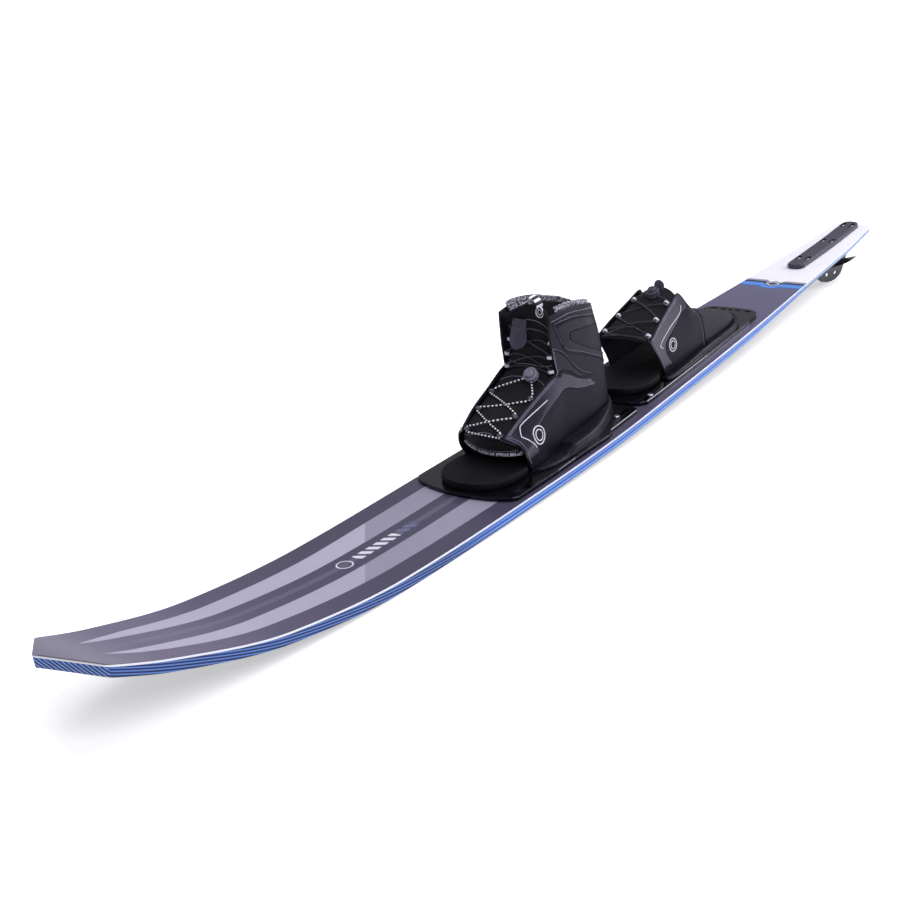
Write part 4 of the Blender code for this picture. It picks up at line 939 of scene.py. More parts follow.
us, vs = crowded(-11, 11, 177, 0.9), crowded(0, 1, 44, 0.7)
form = pad(BOOT.lifted, us, vs, 0.0, -WALL_THICK, 1.6, "v0", full_between(7.0, 0.32, 2.6, 0.2, 0.55))
upper = piece("front_boot_upper", form, UPPER, FRONT_GEAR, ["front_upper"])


# %% Films and lines on a wall
def drawn(line, count):
    """A line of (u, v) marks smoothed and filled in."""
    line = np.asarray(line, float)
    return glide(np.arange(len(line)), line, np.linspace(0, len(line) - 1, count))


def film(surface, line_a, line_b, outer, inner, count, rows, rounding, side=1):
    """A thin welded film between two lines of (u, v) marks with as many marks each."""
    a, b = drawn(line_a, count), drawn(line_b, count)
    def lift(i, j, by):
        i, j = np.round(i).astype(int), np.asarray(j)[:, None]
        spot = a[i] * (1 - j) + b[i] * j
        return surface.lifted(side * spot[:, 0], spot[:, 1], by)
    return pad(lift, np.arange(count), crowded(0, 1, rows, 0.6), outer, inner, rounding)


def line_on(surface, line, width, outer, inner, count, side=1):
    """A raised line of one width in millimetres along (u, v) marks."""
    u, v = drawn(line, count).T
    spots, off = surface.spot(side * u, v), surface.out(side * u, v)
    cross = unit(np.cross(off, unit(np.gradient(spots, axis=0))))
    def lift(i, j, by):
        i = np.round(i).astype(int)
        return spots[i] + cross[i] * (np.asarray(j) * width)[:, None] + off[i] * np.asarray(by)[:, None]
    return pad(lift, np.arange(count), crowded(-0.5, 0.5, 6, 0.6), outer, inner, min(0.5, width * 0.3))


print("films and lines ready")


# %% Seams, rings and tables of them
def seam(surface, line, count, raised=0.15, pitch=3.0, side=1, size=0.42):
    """A row of stitches along (u, v) marks."""
    u, v = drawn(line, count).T
    return stitches(surface.lifted(side * u, v, raised), surface.out(side * u, v), pitch, size)


def drop(surface, u, v, spots, off, by):
    """Moves spots along a direction onto a surface near (u, v), and then off it."""
    u0, v0 = np.full(len(spots), float(u)), np.full(len(spots), float(v))
    for _ in range(5):
        here = surface.spot(u0, v0)
        du = (surface.spot(u0 + 0.02, v0) - here) / 0.02
        dv = (surface.spot(u0, v0 + 0.01) - here) / 0.01
        away, du, dv = (d - off * (d @ off)[:, None] for d in (spots - here, du, dv))
        uu, vv, uv = (du * du).sum(1), (dv * dv).sum(1), (du * dv).sum(1)
        ru, rv = (away * du).sum(1), (away * dv).sum(1)
        base = uu * vv - uv * uv
        u0 = u0 + (ru * vv - rv * uv) / base
        v0 = v0 + (rv * uu - ru * uv) / base
    return surface.lifted(u0, v0, by)


def ring_on(surface, u, v, radius, width, outer, inner, side=1, sides=40):
    """A raised ring of print round a place on a surface."""
    centre, off = (of(np.array([side * u]), np.array([v]))[0] for of in (surface.spot, surface.out))
    up = unit(np.array([0, 0, 1.0]) - off * off[2])
    cross = np.cross(off, up)
    turn = np.arange(sides) * 2 * math.pi / sides
    spoke = cross[None] * np.cos(turn)[:, None] + up[None] * np.sin(turn)[:, None]
    near, far = radius - width / 2, radius + width / 2
    profile = [(near, inner), (near, outer), (far, outer), (far, inner)]
    grid = np.concatenate([drop(surface, side * u, v, centre + spoke * r, off, by) for r, by in profile])
    last, faces = 3 * sides, quads(4, sides, ring=True)
    faces += [[last + k, last + (k + 1) % sides, (k + 1) % sides, k] for k in range(sides)]
    return grid, faces, np.stack([grid[:, 0], grid[:, 2], np.ones(len(grid))], 1)


def trimmed(prefix, surface, body, table):
    """Thin pieces on a surface, from a table that gives each one's look and its rows of makers and marks."""
    for tag, (look, sides, rows) in table.items():
        forms = [make(surface, *marks, side=side) for side in sides for make, *marks in rows]
        piece(f"{prefix}_{tag}", joined(*forms), look, body, weld=look is not PALE_THREAD)


print("seams and rings ready")
# %% The front boot's films, piping, print and stitches
trim_edge = [(10.99, 0.16), (10.99, 0.55), (10.93, 0.975), (9.6, 0.985), (8.4, 0.985), (7.61, 0.96), (6.4, 0.76)]
trim_edge += [(5.11, 0.585), (3.06, 0.455)]
trim_back = [(9.94, 0.16), (10.05, 0.36), (10.14, 0.53), (9.43, 0.59), (8.4, 0.645), (7.31, 0.65), (6.2, 0.57)]
trim_back += [(4.91, 0.47), (2.69, 0.38)]
chevron_out = [(2.0, 0.89), (3.4, 0.92), (4.65, 0.93), (5.09, 0.79), (3.45, 0.67), (2.4, 0.575), (1.51, 0.48)]
chevron_in = [(1.6, 0.82), (2.8, 0.84), (4.02, 0.85), (4.2, 0.81), (3.16, 0.71), (2.3, 0.63), (1.46, 0.55)]
crease_top = [(6.0, 0.95), (5.5, 0.80), (4.91, 0.66), (4.0, 0.56), (3.06, 0.485)]
crease_low = [(7.2, 0.95), (6.2, 0.77), (5.2, 0.62), (4.1, 0.53), (3.0, 0.475)]
accent = [(8.54, 0.79), (9.4, 0.835), (10.1, 0.875), (10.24, 0.88), (10.31, 0.87), (10.56, 0.76), (10.61, 0.725)]
accent += [(10.6, 0.69), (10.35, 0.45), (10.11, 0.26)]
piped = (trim_back, chevron_out, chevron_in, crease_top, crease_low)
# Thin beads beside the piping and films, coloured pale: a painted highlight along the raised film edges.
highlight_bead_lines = [[(u, v + 0.016) for u, v in line] for line in (trim_back, chevron_out, crease_top)]
rows = []
for inset in (0.955, 0.925):
    rows.append((seam, [(10.8, inset), (9.5, inset + 0.01), (8.4, inset + 0.01), (7.6, inset)], 120, 0.95))
    rows.append((seam, [(7.3, inset + 0.01), (6.5, inset + 0.01), (5.9, inset + 0.015)], 80))
rows.append((seam, [(5.0, 0.965), (4.0, 0.968), (3.0, 0.965), (1.5, 0.96), (0.2, 0.96)], 120))
rows.append((seam, [(10.86, 0.12), (10.86, 0.5), (10.84, 0.9)], 60, 0.95))
rows.append((seam, [(0.35, 0.2), (0.35, 0.5), (0.35, 0.94)], 90))
chevrons = [(film, chevron_out, chevron_in, 0.6, -0.5, 80, 7, 0.7)]
chevrons += [(film, crease_top, crease_low, 0.5, -0.5, 60, 7, 0.5)]
prints = [(line_on, accent, 1.3, 1.15, 0.2, 90)]
prints += [(ring_on, 9.72, 0.42, 11.5, 1.5, 1.1, -0.4), (ring_on, 9.72, 0.42, 7.0, 1.2, 1.1, -0.4)]
front_trim = {
    "film": (TRIM, BOTH, [(film, trim_edge, trim_back, 0.75, -0.5, 110, 14, 0.9)]),
    "chevrons": (QUIET_TRIM, BOTH, chevrons),
    "piping": (DARK_TRIM, BOTH, [(line_on, line, 1.1, 1.05, -0.3, 90) for line in piped]),
    "highlight_beads": (PAINTED_HIGHLIGHT_BEAD, BOTH, [(line_on, line, 0.7, 1.0, -0.3, 90) for line in highlight_bead_lines]),
    "print": (WHITE_PRINT, BOTH, prints),
    "stitches": (PALE_THREAD, BOTH, rows),
}
trimmed("front_boot", BOOT, FRONT_GEAR, front_trim)

# %% [markdown]
# ## Collar lining, tongue and toe roll
# The collar is lined with a thick knit over foam, the tongue is a quilted pad that slides under both lace edges, and
# a rolled edge keeps the tongue's end soft on the toes. Each is a padded sheet or tube whose fullness is pressed
# down where a seam crosses it.
# %% The collar lining
LINER_OUT, LINER_THICK = -(WALL_THICK + 0.7), 2.4
us = crowded(-4.32, 4.32, 100, 0.9)
form = pad(BOOT.lifted, us, crowded(0.6, 1.035, 26, 0.7), LINER_OUT, LINER_OUT - LINER_THICK, 1.2, "v0")
# Across the lining is measured from the rim, so that the painted black shade starts at one depth; it starts 34 mm lower
# beside the far lace edge, where the heather shows.
FAR_LOWER, FAR_WITHIN = 34, 32
lay = form[2]
from_base = lay[:, 1].reshape(2, len(us), -1)
lower = FAR_LOWER * np.exp(-((lay[:, 0] / FAR_WITHIN) ** 2))
lay[:, 1] = (from_base - from_base.max(axis=2, keepdims=True)).ravel() + lower
liner = piece("front_collar_lining", form, COLLAR_KNIT, FRONT_GEAR, ["front_liner"])
print("collar lining spans", lay.min(axis=0).round(1), lay.max(axis=0).round(1), "mm")


# %% Quilting
SEAM_SINKS = 0.35


def quilted(seams, full, wide=0.17):
    """Fullness that dips to nothing along each seam, where a seam is (a, t) marks from side to side."""
    def swell(a, t):
        rise = np.full(len(a), full)
        for marks in seams:
            places, sides = zip(*marks)
            rise = rise * (1 - np.exp(-(((a - np.interp(t, sides, places)) / wide) ** 2)))
        return rise - SEAM_SINKS
    return swell


def loosened(lay, us, vs, swell, full):
    """Marks how free each point is: wholly on the outer face between seams, and not at all at seams and edges."""
    u, v = (g.ravel() for g in np.meshgrid(us, vs, indexing="ij"))
    rim = np.minimum(np.minimum(u - us[0], us[-1] - u), np.minimum(v - vs[0], vs[-1] - v)) / 0.12
    lay[:, 2] = 0.0
    lay[: len(u), 2] = np.clip((swell(u, v) + SEAM_SINKS) / full, 0, 1) ** 2 * np.clip(rim, 0, 1)


print("quilting ready")

# %% [markdown]
# ### Letting a quilted pad fill out
# Foam presses the cloth of a quilted pad outward, and its seams hold it down. A copy of the pad, held at seams and
# edges, is run as cloth with a light pressure inside, and the pad takes over where the copy's points come to rest.
# %% Fill out as cloth
PAD_PRESSURE, PAD_MASS, PAD_MOST_MM, PAD_FRAMES = 4.0, 0.05, 0.7, 20


def filled_out(made):
    """Runs a copy of a pad as cloth under pressure and takes over its shape, moved by no more than a limit."""
    scene = bpy.context.scene
    soft = bpy.data.objects.new("cloth_copy", made.data.copy())
    scene.collection.objects.link(soft)
    lay, before, after = (np.empty(len(soft.data.vertices) * 3) for _ in range(3))
    soft.data.attributes["lay"].data.foreach_get("vector", lay)
    held = soft.vertex_groups.new(name="held")
    for k, free in enumerate(lay.reshape(-1, 3)[:, 2].tolist()):
        held.add([k], 1.0 - free, "REPLACE")
    cloth = soft.modifiers.new("cloth", "CLOTH")
    cloth.settings.vertex_group_mass = "held"
    cloth.settings.mass = PAD_MASS
    cloth.settings.use_pressure = True
    cloth.settings.uniform_pressure_force = PAD_PRESSURE
    cloth.settings.effector_weights.gravity = 0.0
    cloth.collision_settings.use_collision = False
    for number in range(1, PAD_FRAMES + 1):
        scene.frame_set(number)
    shaped = soft.evaluated_get(bpy.context.evaluated_depsgraph_get())
    shaped.data.vertices.foreach_get("co", after)
    made.data.vertices.foreach_get("co", before)
    move = (after - before).reshape(-1, 3)
    length = np.maximum(np.linalg.norm(move, axis=1, keepdims=True), 1e-9)
    move *= np.minimum(1.0, PAD_MOST_MM * MM / length)
    made.data.vertices.foreach_set("co", before + move.ravel())
    made.data.update()
    bpy.data.objects.remove(soft, do_unlink=True)
    scene.frame_set(1)
    print(made.name, "filled out by up to", round(float(length.max() / MM), 3), "mm, kept to", PAD_MOST_MM)


def quilted_tongue(prefix, tongue, reach, count, seams, full, wide, body):
    """A tongue's pad, quilted along its seams and filled out."""
    us, vs, swell = crowded(0, reach, count, 0.6), crowded(-1, 1, 60, 0.5), quilted(seams, full, wide)
    form = pad(tongue.lifted, us, vs, 0.0, -2.6, 1.3, swell=swell)
    loosened(form[2], us, vs, swell, full)
    made = piece(f"{prefix}_boot_tongue", form, MESH_CLOTH, body, [f"{prefix}_tongue"])
    filled_out(made)


# %% The front tongue and the toe roll
toe_arc = [(0.55, -1.0), (1.5, -0.6), (2.05, -0.2), (2.12, 0.2), (1.6, 0.6), (0.55, 1.0)]
low_seam = [(4.76, -1.0), (5.25, -0.5), (5.3, 0.0), (5.25, 0.5), (4.76, 1.0)]
high_seam = [(6.57, -1.0), (6.2, -0.4), (6.2, 0.4), (6.57, 1.0)]
top_seam = [(8.0, -1.0), (8.1, -0.6), (8.1, 0.6), (8.0, 1.0)]
seams = [toe_arc, low_seam, high_seam, top_seam]
quilted_tongue("front", FRONT_TONGUE, 9, 170, seams, 1.0, 0.17, FRONT_GEAR)
rows = [(seam, marks, 60, -0.15) for marks in seams] + [(seam, [(0.22, -0.9), (0.22, 0.0), (0.22, 0.9)], 60, 0.5)]
prints = [(ring_on, 8.72, 0.42, 6.6, 1.1, 1.0, -0.5), (ring_on, 8.72, 0.42, 3.4, 0.9, 1.0, -0.5)]
tongue_trim = {"stitches": (PALE_THREAD, (1,), rows), "print": (WHITE_PRINT, (1,), prints)}
trimmed("front_tongue", FRONT_TONGUE, FRONT_GEAR, tongue_trim)
ROLL_R, ROLL_DOWN, TONGUE_MIDDLE = 2.75, 3.05, -1.3
path = FRONT_TONGUE.lifted(0, np.linspace(-0.95, 0.95, 60), TONGUE_MIDDLE) - (0, 0, ROLL_DOWN)
roll = piece("front_toe_roll_knit", cord_skin(path, ROLL_R, 16), HEATHER, FRONT_GEAR, ["front_toe_roll"])

# %% [markdown]
# ## Laces, loops, lock and pull tab
# A tape loop at each lace edge carries the cord, so that it runs freely and the whole foot tightens at once. Each
# cord is threaded from the lock down one side, over the bar at the front and up the other side. The points it passes
# are worked out from the loops, and one smooth curve goes through them.
# %% The loops' places
LACE_R, LOOP_R, LOOP_WIRE = 1.0, 3.0, 0.8


def at_one(make, *numbers):
    """What a surface gives at one place."""
    return make(*(np.array([float(n)]) for n in numbers))[0]


def loop_place(tongue, wall, a, u, side):
    """A loop's middle, the way through it and the way across it, on the tongue beside a lace edge."""
    y = abs(at_one(wall.lifted, side * u, 1.0, -WALL_THICK)[1]) - LOOP_R - LOOP_WIRE - 0.75
    t = side * y / abs(glide(tongue.knots, tongue.edge[side], a)[0, 1])
    for _ in range(4):
        centre = at_one(tongue.lifted, a, t, LOOP_R + LOOP_WIRE + 0.6)
        t *= y / abs(centre[1])
    along = unit(at_one(tongue.spot, a + 0.05, t) - at_one(tongue.spot, a - 0.05, t))
    up = at_one(tongue.out, a, t)
    return centre, along, np.cross(along, up), up


def loops_up(tongue, wall, places):
    """The loops up both lace edges, from the front."""
    return {side: [loop_place(tongue, wall, a, u, side) for a, u in places] for side in BOTH}


def tape_loop(loop, side):
    """A loop of flat tape round a lace, drawn out towards the lace edge where it is sewn in."""
    centre, along, across, up = loop
    turn = np.linspace(0, 2 * math.pi, 33)
    out, rise = np.cos(turn), np.sin(turn)
    toward = side * (1 if across[1] > 0 else -1)
    drawn_out = np.where(out * toward > 0, 1.0 + 0.42 * (out * toward) ** 3, 1.0)
    ring = centre + (across * (out * drawn_out)[:, None] + up * rise[:, None]) * LOOP_R
    return cord_skin(ring, 2.0, 12, 0.2, unit(ring - centre))


def tape_loops(name, prefix, loops, look, body):
    """Both edges' tape loops as one piece."""
    form = joined(*[tape_loop(loop, side) for side in BOTH for loop in loops[side]])
    piece(name, form, look, body, [f"{prefix}_{side}_{k}" for side in ("near", "far") for k in (1, 2, 3)])


LOWER = [(2.08, 10.78), (3.0, 9.95), (3.98, 8.95)]
UPPER_LOOPS = [(6.2, 6.95), (6.9, 6.35), (7.55, 5.8)]
low_loops = loops_up(FRONT_TONGUE, BOOT, LOWER)
high_loops = loops_up(FRONT_TONGUE, BOOT, UPPER_LOOPS)
print("lower loops at", [loop[0].round(1).tolist() for loop in low_loops[1]])


# %% Threading a lace
def eased(path, step=1.2):
    """A smooth path through every point given, with tangents no longer than the gaps."""
    pts = np.asarray(path, float)
    line = [pts[:1]]
    for i in range(len(pts) - 1):
        gap = np.linalg.norm(pts[i + 1] - pts[i])
        a = unit(pts[i + 1] - pts[max(i - 1, 0)]) * gap
        b = unit(pts[min(i + 2, len(pts) - 1)] - pts[i]) * gap
        t = np.linspace(0, 1, max(2, int(gap / step)) + 1)[1:, None]
        spot = pts[i] * (2 * t**3 - 3 * t * t + 1) + a * (t**3 - 2 * t * t + t)
        line.append(spot + pts[i + 1] * (3 * t * t - 2 * t**3) + b * (t**3 - t * t))
    return np.concatenate(line)


def through(loop, way):
    """A cord's points through a loop."""
    return [loop[0] + loop[1] * by * way for by in (-3.2, -1.6, 0.0, 1.6, 3.2)]


def over(tongue, a0, a1, side, height):
    """A cord's points across the foot, from one side and place to the other, highest in the middle."""
    flat = (height + 3.6) / 2
    marks = ((0.5, 0.25, flat), (0.0, 0.5, height), (-0.5, 0.75, flat))
    return [at_one(tongue.lifted, a0 + (a1 - a0) * part, side * t, rise) for t, part, rise in marks]


def zigzag(tongue, places, loops, start, end, bar, low=1.7):
    """A cord's points from its start down one edge, across the foot and up the other edge to its end."""
    path, side = list(start), -1
    for k in range(len(places) - 1, 0, -1):
        path += through(loops[side][k], -1)
        path += over(tongue, places[k][0], places[k - 1][0], side, low + 2 * LACE_R + 0.9)
        side = -side
    path += through(loops[side][0], -1)
    path += over(tongue, places[0][0] + bar, places[0][0] + bar, side, low)
    side = -side
    path += through(loops[side][0], 1)
    for k in range(1, len(places)):
        path += over(tongue, places[k - 1][0], places[k][0], side, low)
        side = -side
        path += through(loops[side][k], 1)
    return path + list(end)


def lace(name, tongue, places, loops, ends, radius, look, body, covers, bar=-0.16):
    """A braided lace from its start to its end, threaded through its loops."""
    path = evenly(eased(zigzag(tongue, places, loops, *ends, bar)), 0.9)
    piece(name, cord_skin(path, radius, 10), look, body, [covers])
    print(name, "is", round(run_of(path)[-1]), "mm long")


print("threading ready")


# %% The front laces
def lock_end(centre, axis, loop):
    """Where a lace comes out of its lock and bends towards its first loop."""
    away = loop[0] - centre
    away = unit(away - axis * (away @ axis))
    bridge = loop[0] + loop[1] * 5.0 + (centre + axis * 4.0 - loop[0]) * 0.12
    return [centre + axis * 4.0 + away * 10.4, centre + axis * 4.0 + away * 13.5, bridge]


def lock_ends(lock, loops):
    """Both ends of a lace at its lock, given as its middle and its axis."""
    return lock_end(*lock, loops[-1][2]), lock_end(*lock, loops[1][2])[::-1]


def placed(tongue, a, t, by):
    """A place on a tongue and the direction off it."""
    return at_one(tongue.lifted, a, t, by), at_one(tongue.out, a, t)


front_lock = placed(FRONT_TONGUE, 5.4, 0.28, 1.7)
ends = lock_ends(front_lock, low_loops)
lace("front_low_lace_braid", FRONT_TONGUE, LOWER, low_loops, ends, LACE_R + 0.1, SPECKLED_CORD, FRONT_GEAR,
     "front_lace_low")
TAB_HALF = 14.0
tab_middle, tab_axis = placed(FRONT_TONGUE, 7.5, -0.3, 10.5)
tab_up = unit(at_one(FRONT_TONGUE.spot, 7.7, -0.3) - at_one(FRONT_TONGUE.spot, 7.3, -0.3))
tab_across = unit(np.cross(tab_up, tab_axis))


def by_tab(across, up):
    """A place beside the pull tab's middle."""
    return tab_middle + tab_across * across + tab_up * up


start = [by_tab(0.6 - TAB_HALF, 6), by_tab(-TAB_HALF - 1.5, 9), at_one(FRONT_TONGUE.lifted, 7.9, -0.8, 5.5)]
end = [at_one(FRONT_TONGUE.lifted, 7.9, 0.76, 5.5), by_tab(TAB_HALF + 4, 9), by_tab(TAB_HALF - 0.6, 6)]
lace("front_high_lace_braid", FRONT_TONGUE, UPPER_LOOPS, high_loops, (start, end), LACE_R - 0.2, BLACK_CORD, FRONT_GEAR,
     "front_lace_high", -0.13)
tape_loops("front_low_tape_loops", "front_loop_low", low_loops, DARK_LOOP_TAPE, FRONT_GEAR)
tape_loops("front_high_tape_loops", "front_loop_high", high_loops, LOOP_TAPE, FRONT_GEAR)

# %% [markdown]
# ### Cord locks
# A sprung lock grips the lace: a turned body with finger flutes, and a plunger with a ribbed top that is pressed to
# let the cord run. The plunger is its own piece, because it moves.
# %% Turned locks
LOCK_R, LOCK_TALL, LOCK_BORE, PLUNGER_R, PLUNGER_OUT = 9.5, 9.0, 6.3, 5.9, 4.0


def cord_lock(prefix, lock, binding, look):
    """A lock's body and plunger, where it stands on a tongue."""
    centre = lock[0] + np.array([0, 0, deck(lock[0][0])[0]])
    body = [(0, 0.05), (LOCK_R - 1.6, 0.05), (LOCK_R - 0.5, 0.4), (LOCK_R, 1.3), (LOCK_R, 1.9), (LOCK_R - 0.25, 2.3)]
    body += [(LOCK_R - 0.25, h) for h in (3.2, 4.5, 5.8, 6.7)] + [(LOCK_R, 7.1), (LOCK_R, 7.8), (LOCK_R - 0.5, 8.6)]
    body += [(LOCK_R - 1.5, LOCK_TALL), (LOCK_BORE + 0.5, LOCK_TALL), (LOCK_BORE, LOCK_TALL - 0.5), (LOCK_BORE, 2.0)]
    form = turned_skin(body + [(0, 2.0)], centre, lock[1], 96, 16, 0.7, (3.0, 6.0))
    piece(f"{prefix}_cord_lock", form, look, binding, [f"{prefix}_lock_body"], False)
    tall = LOCK_TALL + PLUNGER_OUT
    knob = [(0, 5.6), (PLUNGER_R - 0.4, 5.6), (PLUNGER_R, 6.0), (PLUNGER_R, tall - 1.4), (PLUNGER_R - 0.5, tall - 0.4)]
    knob += [(PLUNGER_R - 1.3, tall), (3.7, tall), (3.4, tall - 0.5), (2.9, tall - 0.5), (2.6, tall)]
    knob += [(1.6, tall), (1.3, tall - 0.45), (0.8, tall - 0.45), (0.5, tall - 0.05), (0, tall)]
    form = turned_skin(knob, centre, lock[1], 64)
    piece(f"{prefix}_plunger", form, look, f"{prefix}_plunger", [f"{prefix}_lock_plunger"], False)


cord_lock("front", front_lock, FRONT_GEAR, GREY_ACETAL)

# %% [markdown]
# ### The pull tab and the tongue's loop
# The upper lace ends in a soft moulded tab, wide enough for a gloved hand, with a fold line where it bends. A loop of
# striped tape at the tongue's top helps to pull the boot on.
# %% The tab
FOLD_AT, FOLD_DEEP, PANEL_DEEP, TAB_THICK = 10.5, 0.7, 0.45, 3.0


def tab_relief(q, p):
    """The fold line and the sunk panel on a tab's face."""
    fold = -FOLD_DEEP * np.exp(-(((q - FOLD_AT) / 0.7) ** 2))
    return fold - PANEL_DEEP / (1 + np.exp(((p / 0.72) ** 2 + ((q + 5) / 11.5) ** 2 - 1) * 14))


def moulded_tab(middle, across, up, axis, size=1.0):
    """A tab with a round end, a neck that tapers and a fold line. The size is a share of the front one's."""
    def lift(q, p, by):
        wide = np.where(q < -6, np.sqrt(np.maximum(TAB_HALF**2 - (q + 6) ** 2, 0)), TAB_HALF - (q + 6) * 0.1)
        corner = np.clip((q - 15.5) / 3.5, 0, 1)
        wide = p * (wide - 3.5 * (1 - np.sqrt(1 - corner**2 * 0.999)))
        out = by + 0.8 - 0.012 * wide**2
        return middle + (across * wide[:, None] + up * q[:, None] + axis * out[:, None]) * size
    us, vs = crowded(-19.97, 19, 90, 0.8), crowded(-1, 1, 50, 0.8)
    return pad(lift, us, vs, TAB_THICK / 2, -TAB_THICK / 2, 1.4, swell=tab_relief)


form = moulded_tab(tab_middle, tab_across, tab_up, tab_axis)
piece("front_tab", form, TAB_GREY, FRONT_GEAR, ["front_pull_tab"])
# %% The striped loop
LOOP_HALF, LOOP_HIGH, TAPE_HALF = 11.5, 12.0, 6.5
top = at_one(FRONT_TONGUE.spot, 9, 0) - at_one(FRONT_TONGUE.out, 9, 0) * 1.3
turn = np.linspace(-0.12, math.pi + 0.12, 60)
path = np.stack([np.full(60, top[0]), LOOP_HALF * np.cos(turn), top[2] - 1.5 + LOOP_HIGH * np.sin(turn)], 1)
away = np.stack([np.zeros(60), np.cos(turn), np.sin(turn)], 1)
points, faces, lay = cord_skin(path, TAPE_HALF, 16, 0.13, away)
# The stripes run along the tape, so its measure is turned: its length goes across.
form = (points, faces, lay[:, [1, 0, 2]])
piece("front_tongue_pull", form, STRIPED_TAPE, FRONT_GEAR, ["front_tongue_loop"])

# %% [markdown]
# ## Footbed and frame of the front binding
# The footbed is a slab of closed cell foam with a soft edge. The frame is a moulded wall that holds the boot to the
# plate: it has a thin foot, an upright side and a rounded lip, and it is highest round the heel, where the load is.
# %% Footbeds
FOOTBED_TOP, FOOTBED_ROUND, DISH = 15.5, 2.6, 0.9


def inner_line(wall, by):
    """The inside of a wall near the plate, as half widths along the ski."""
    u = np.linspace(0, 11, 160)
    spots = np.minimum.reduce([np.abs(wall.lifted(u, v, by)[:, 1]) for v in (0.0, 0.06, 0.12)])
    return wall.lifted(u, 0.03, by)[:, 0], spots


def footbed(name, wall, toe, binding, covers):
    """A foam slab from the heel to a rounded toe, given as (x, half width) marks from its front."""
    toe = np.asarray(toe, float)
    along = run_of(toe)
    toe = glide(along, toe, np.linspace(0, along[-1], 60))[::-1]
    x, wide = inner_line(wall, -WALL_THICK - 0.9)
    keep = x < toe[0, 0] - 8
    x, wide = np.concatenate([x[keep], toe[:, 0]]), np.concatenate([wide[keep], toe[:, 1]])
    order = np.argsort(x)
    x, wide = x[order], np.maximum(wide[order], 0.02)
    wide[0] = 0.02
    low = SEAT + 0.02
    dish = lambda q, p: -DISH * np.clip(1 - np.abs(p) ** 3, 0, 1)
    lift = lambda q, p, by: np.stack([q, p * np.interp(q, x, wide), (low + FOOTBED_TOP) / 2 + by], 1)
    half_thick = (FOOTBED_TOP - low) / 2
    us, vs = crowded(x[0], x[-1], 120, 0.9), crowded(-1, 1, 44, 0.85)
    form = pad(lift, us, vs, half_thick, -half_thick, FOOTBED_ROUND, swell=dish)
    made = piece(name, form, FOAM, binding, covers)


toe = [(1096, 0), (1093, 20), (1086, 36), (1074, 47), (1057, 53), (1037, 54), (1024, 52), (1019.5, 47)]
footbed("front_foam_footbed", BOOT, toe, FRONT_GEAR, ["front_footbed"])


# %% Frames
# The wall's section, from its inner foot round to its inner lip: the share of its thickness, and a height over the
# seat (0) or from the top (1).
FRAME_SECTION = [(1, 0, 0), (0, 0, 0), (0, 1.5, 0), (0.035, 2.0, 0), (0.035, -2.6, 1), (0.055, -1.5, 1)]
FRAME_SECTION += [(0.11, -0.6, 1), (0.2, -0.12, 1), (0.3, 0, 1), (0.62, 0, 1), (0.7, -0.5, 1), (0.93, -0.5, 1)]
FRAME_SECTION += [(1, -0.9, 1)]


def frame_wall(name, wall, us, outer, tall, by, vs, binding, covers):
    """The moulded wall round a boot: its inside follows the boot, and its outside follows the marks given."""
    k = np.arange(len(us))
    fine = np.linspace(0, len(us) - 1, 150)
    u, outer, tall = (glide(k, np.asarray(marks, float), fine) for marks in (us, outer, tall))
    spots = np.stack([wall.lifted(u, v, by) for v in vs])
    far = np.hypot(np.minimum(spots[..., 0] - at_one(wall.spot, 0, 0)[0], 0), spots[..., 1])
    inner = spots[np.argmax(far, axis=0), np.arange(150), :2]
    inner[-1, 1] = outer[-1, 1] = 0.0
    inner, outer = (np.concatenate([line, line[-2::-1] * (1, -1)]) for line in (inner, outer))
    tall = np.concatenate([tall, tall[-2::-1]])
    rows = []
    for share, rise, high in FRAME_SECTION:
        z = tall + rise if high else np.full(len(tall), SEAT + 0.02 + rise)
        rows.append(np.column_stack([outer + (inner - outer) * share, z]))
    grid = np.stack(rows, 1)
    count, ring = grid.shape[:2]
    faces = quads(count, ring, ring=True) + [list(range(ring)), [(count - 1) * ring + j for j in range(ring)][::-1]]
    lay = np.stack(np.broadcast_arrays(run_of(outer)[:, None], np.arange(ring)[None], 1.0), -1).reshape(-1, 3)
    piece(name, (grid.reshape(-1, 3), faces, lay), NYLON_FRAME, binding, covers, sharp=35)


# From the toe to the heel: the guide, the outside's place and half width, and the wall's height over the deck.
us = [11, 10.6, 10, 9, 8.4, 8.0, 7, 5, 4, 3.4, 2.8, 2, 1.4, 1, 0.5, 0]
outer = "1012 62,1005 66,990 69.5,962 71.5,952 72,944 72,922 71.7,896 69,872 63,853 57,838 51,819 41,808 32"
outer = guides(outer + ",802 25,797.6 12,796 0")
tall = [9, 9.2, 9.4, 9.8, 14, 18, 18, 18.5, 19, 20, 21, 22, 22, 22, 22, 22]
frame_wall("front_moulded_frame", BOOT, us, outer, tall, 1.0, (0.0, 0.08, 0.16), FRONT_GEAR, ["front_frame"])


# %% [markdown]
# ## Plates, fin, block and screws
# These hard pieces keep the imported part's own shape. A small bevel breaks their edges, as a mould or a cutter does,
# and each gets the finish of its material.
# %% Dress the hard pieces
def dress(node, look, bevel, segments=2):
    """Gives one of the part's own pieces its finish and breaks its edges by a bevel in millimetres."""
    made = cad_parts[node]
    made.data.materials.clear()
    made.data.materials.append(look)
    soft = made.modifiers.new("broken_edges", "BEVEL")
    soft.width, soft.segments, soft.limit_method, soft.angle_limit = bevel * MM, segments, "ANGLE", math.radians(35)
    soft.harden_normals = False
    print(node, "in", look.name)


dress("front_plate", GLOSS_PLATE, 1.0, 3)
dress("rear_plate", GLOSS_PLATE, 1.0, 3)
dress("fin_block", BLOCK_ABS, 0.5)
dress("fin_blade", ANODISED, 0.2)
dress("fin_wing", WING_BLACK, 0.25)


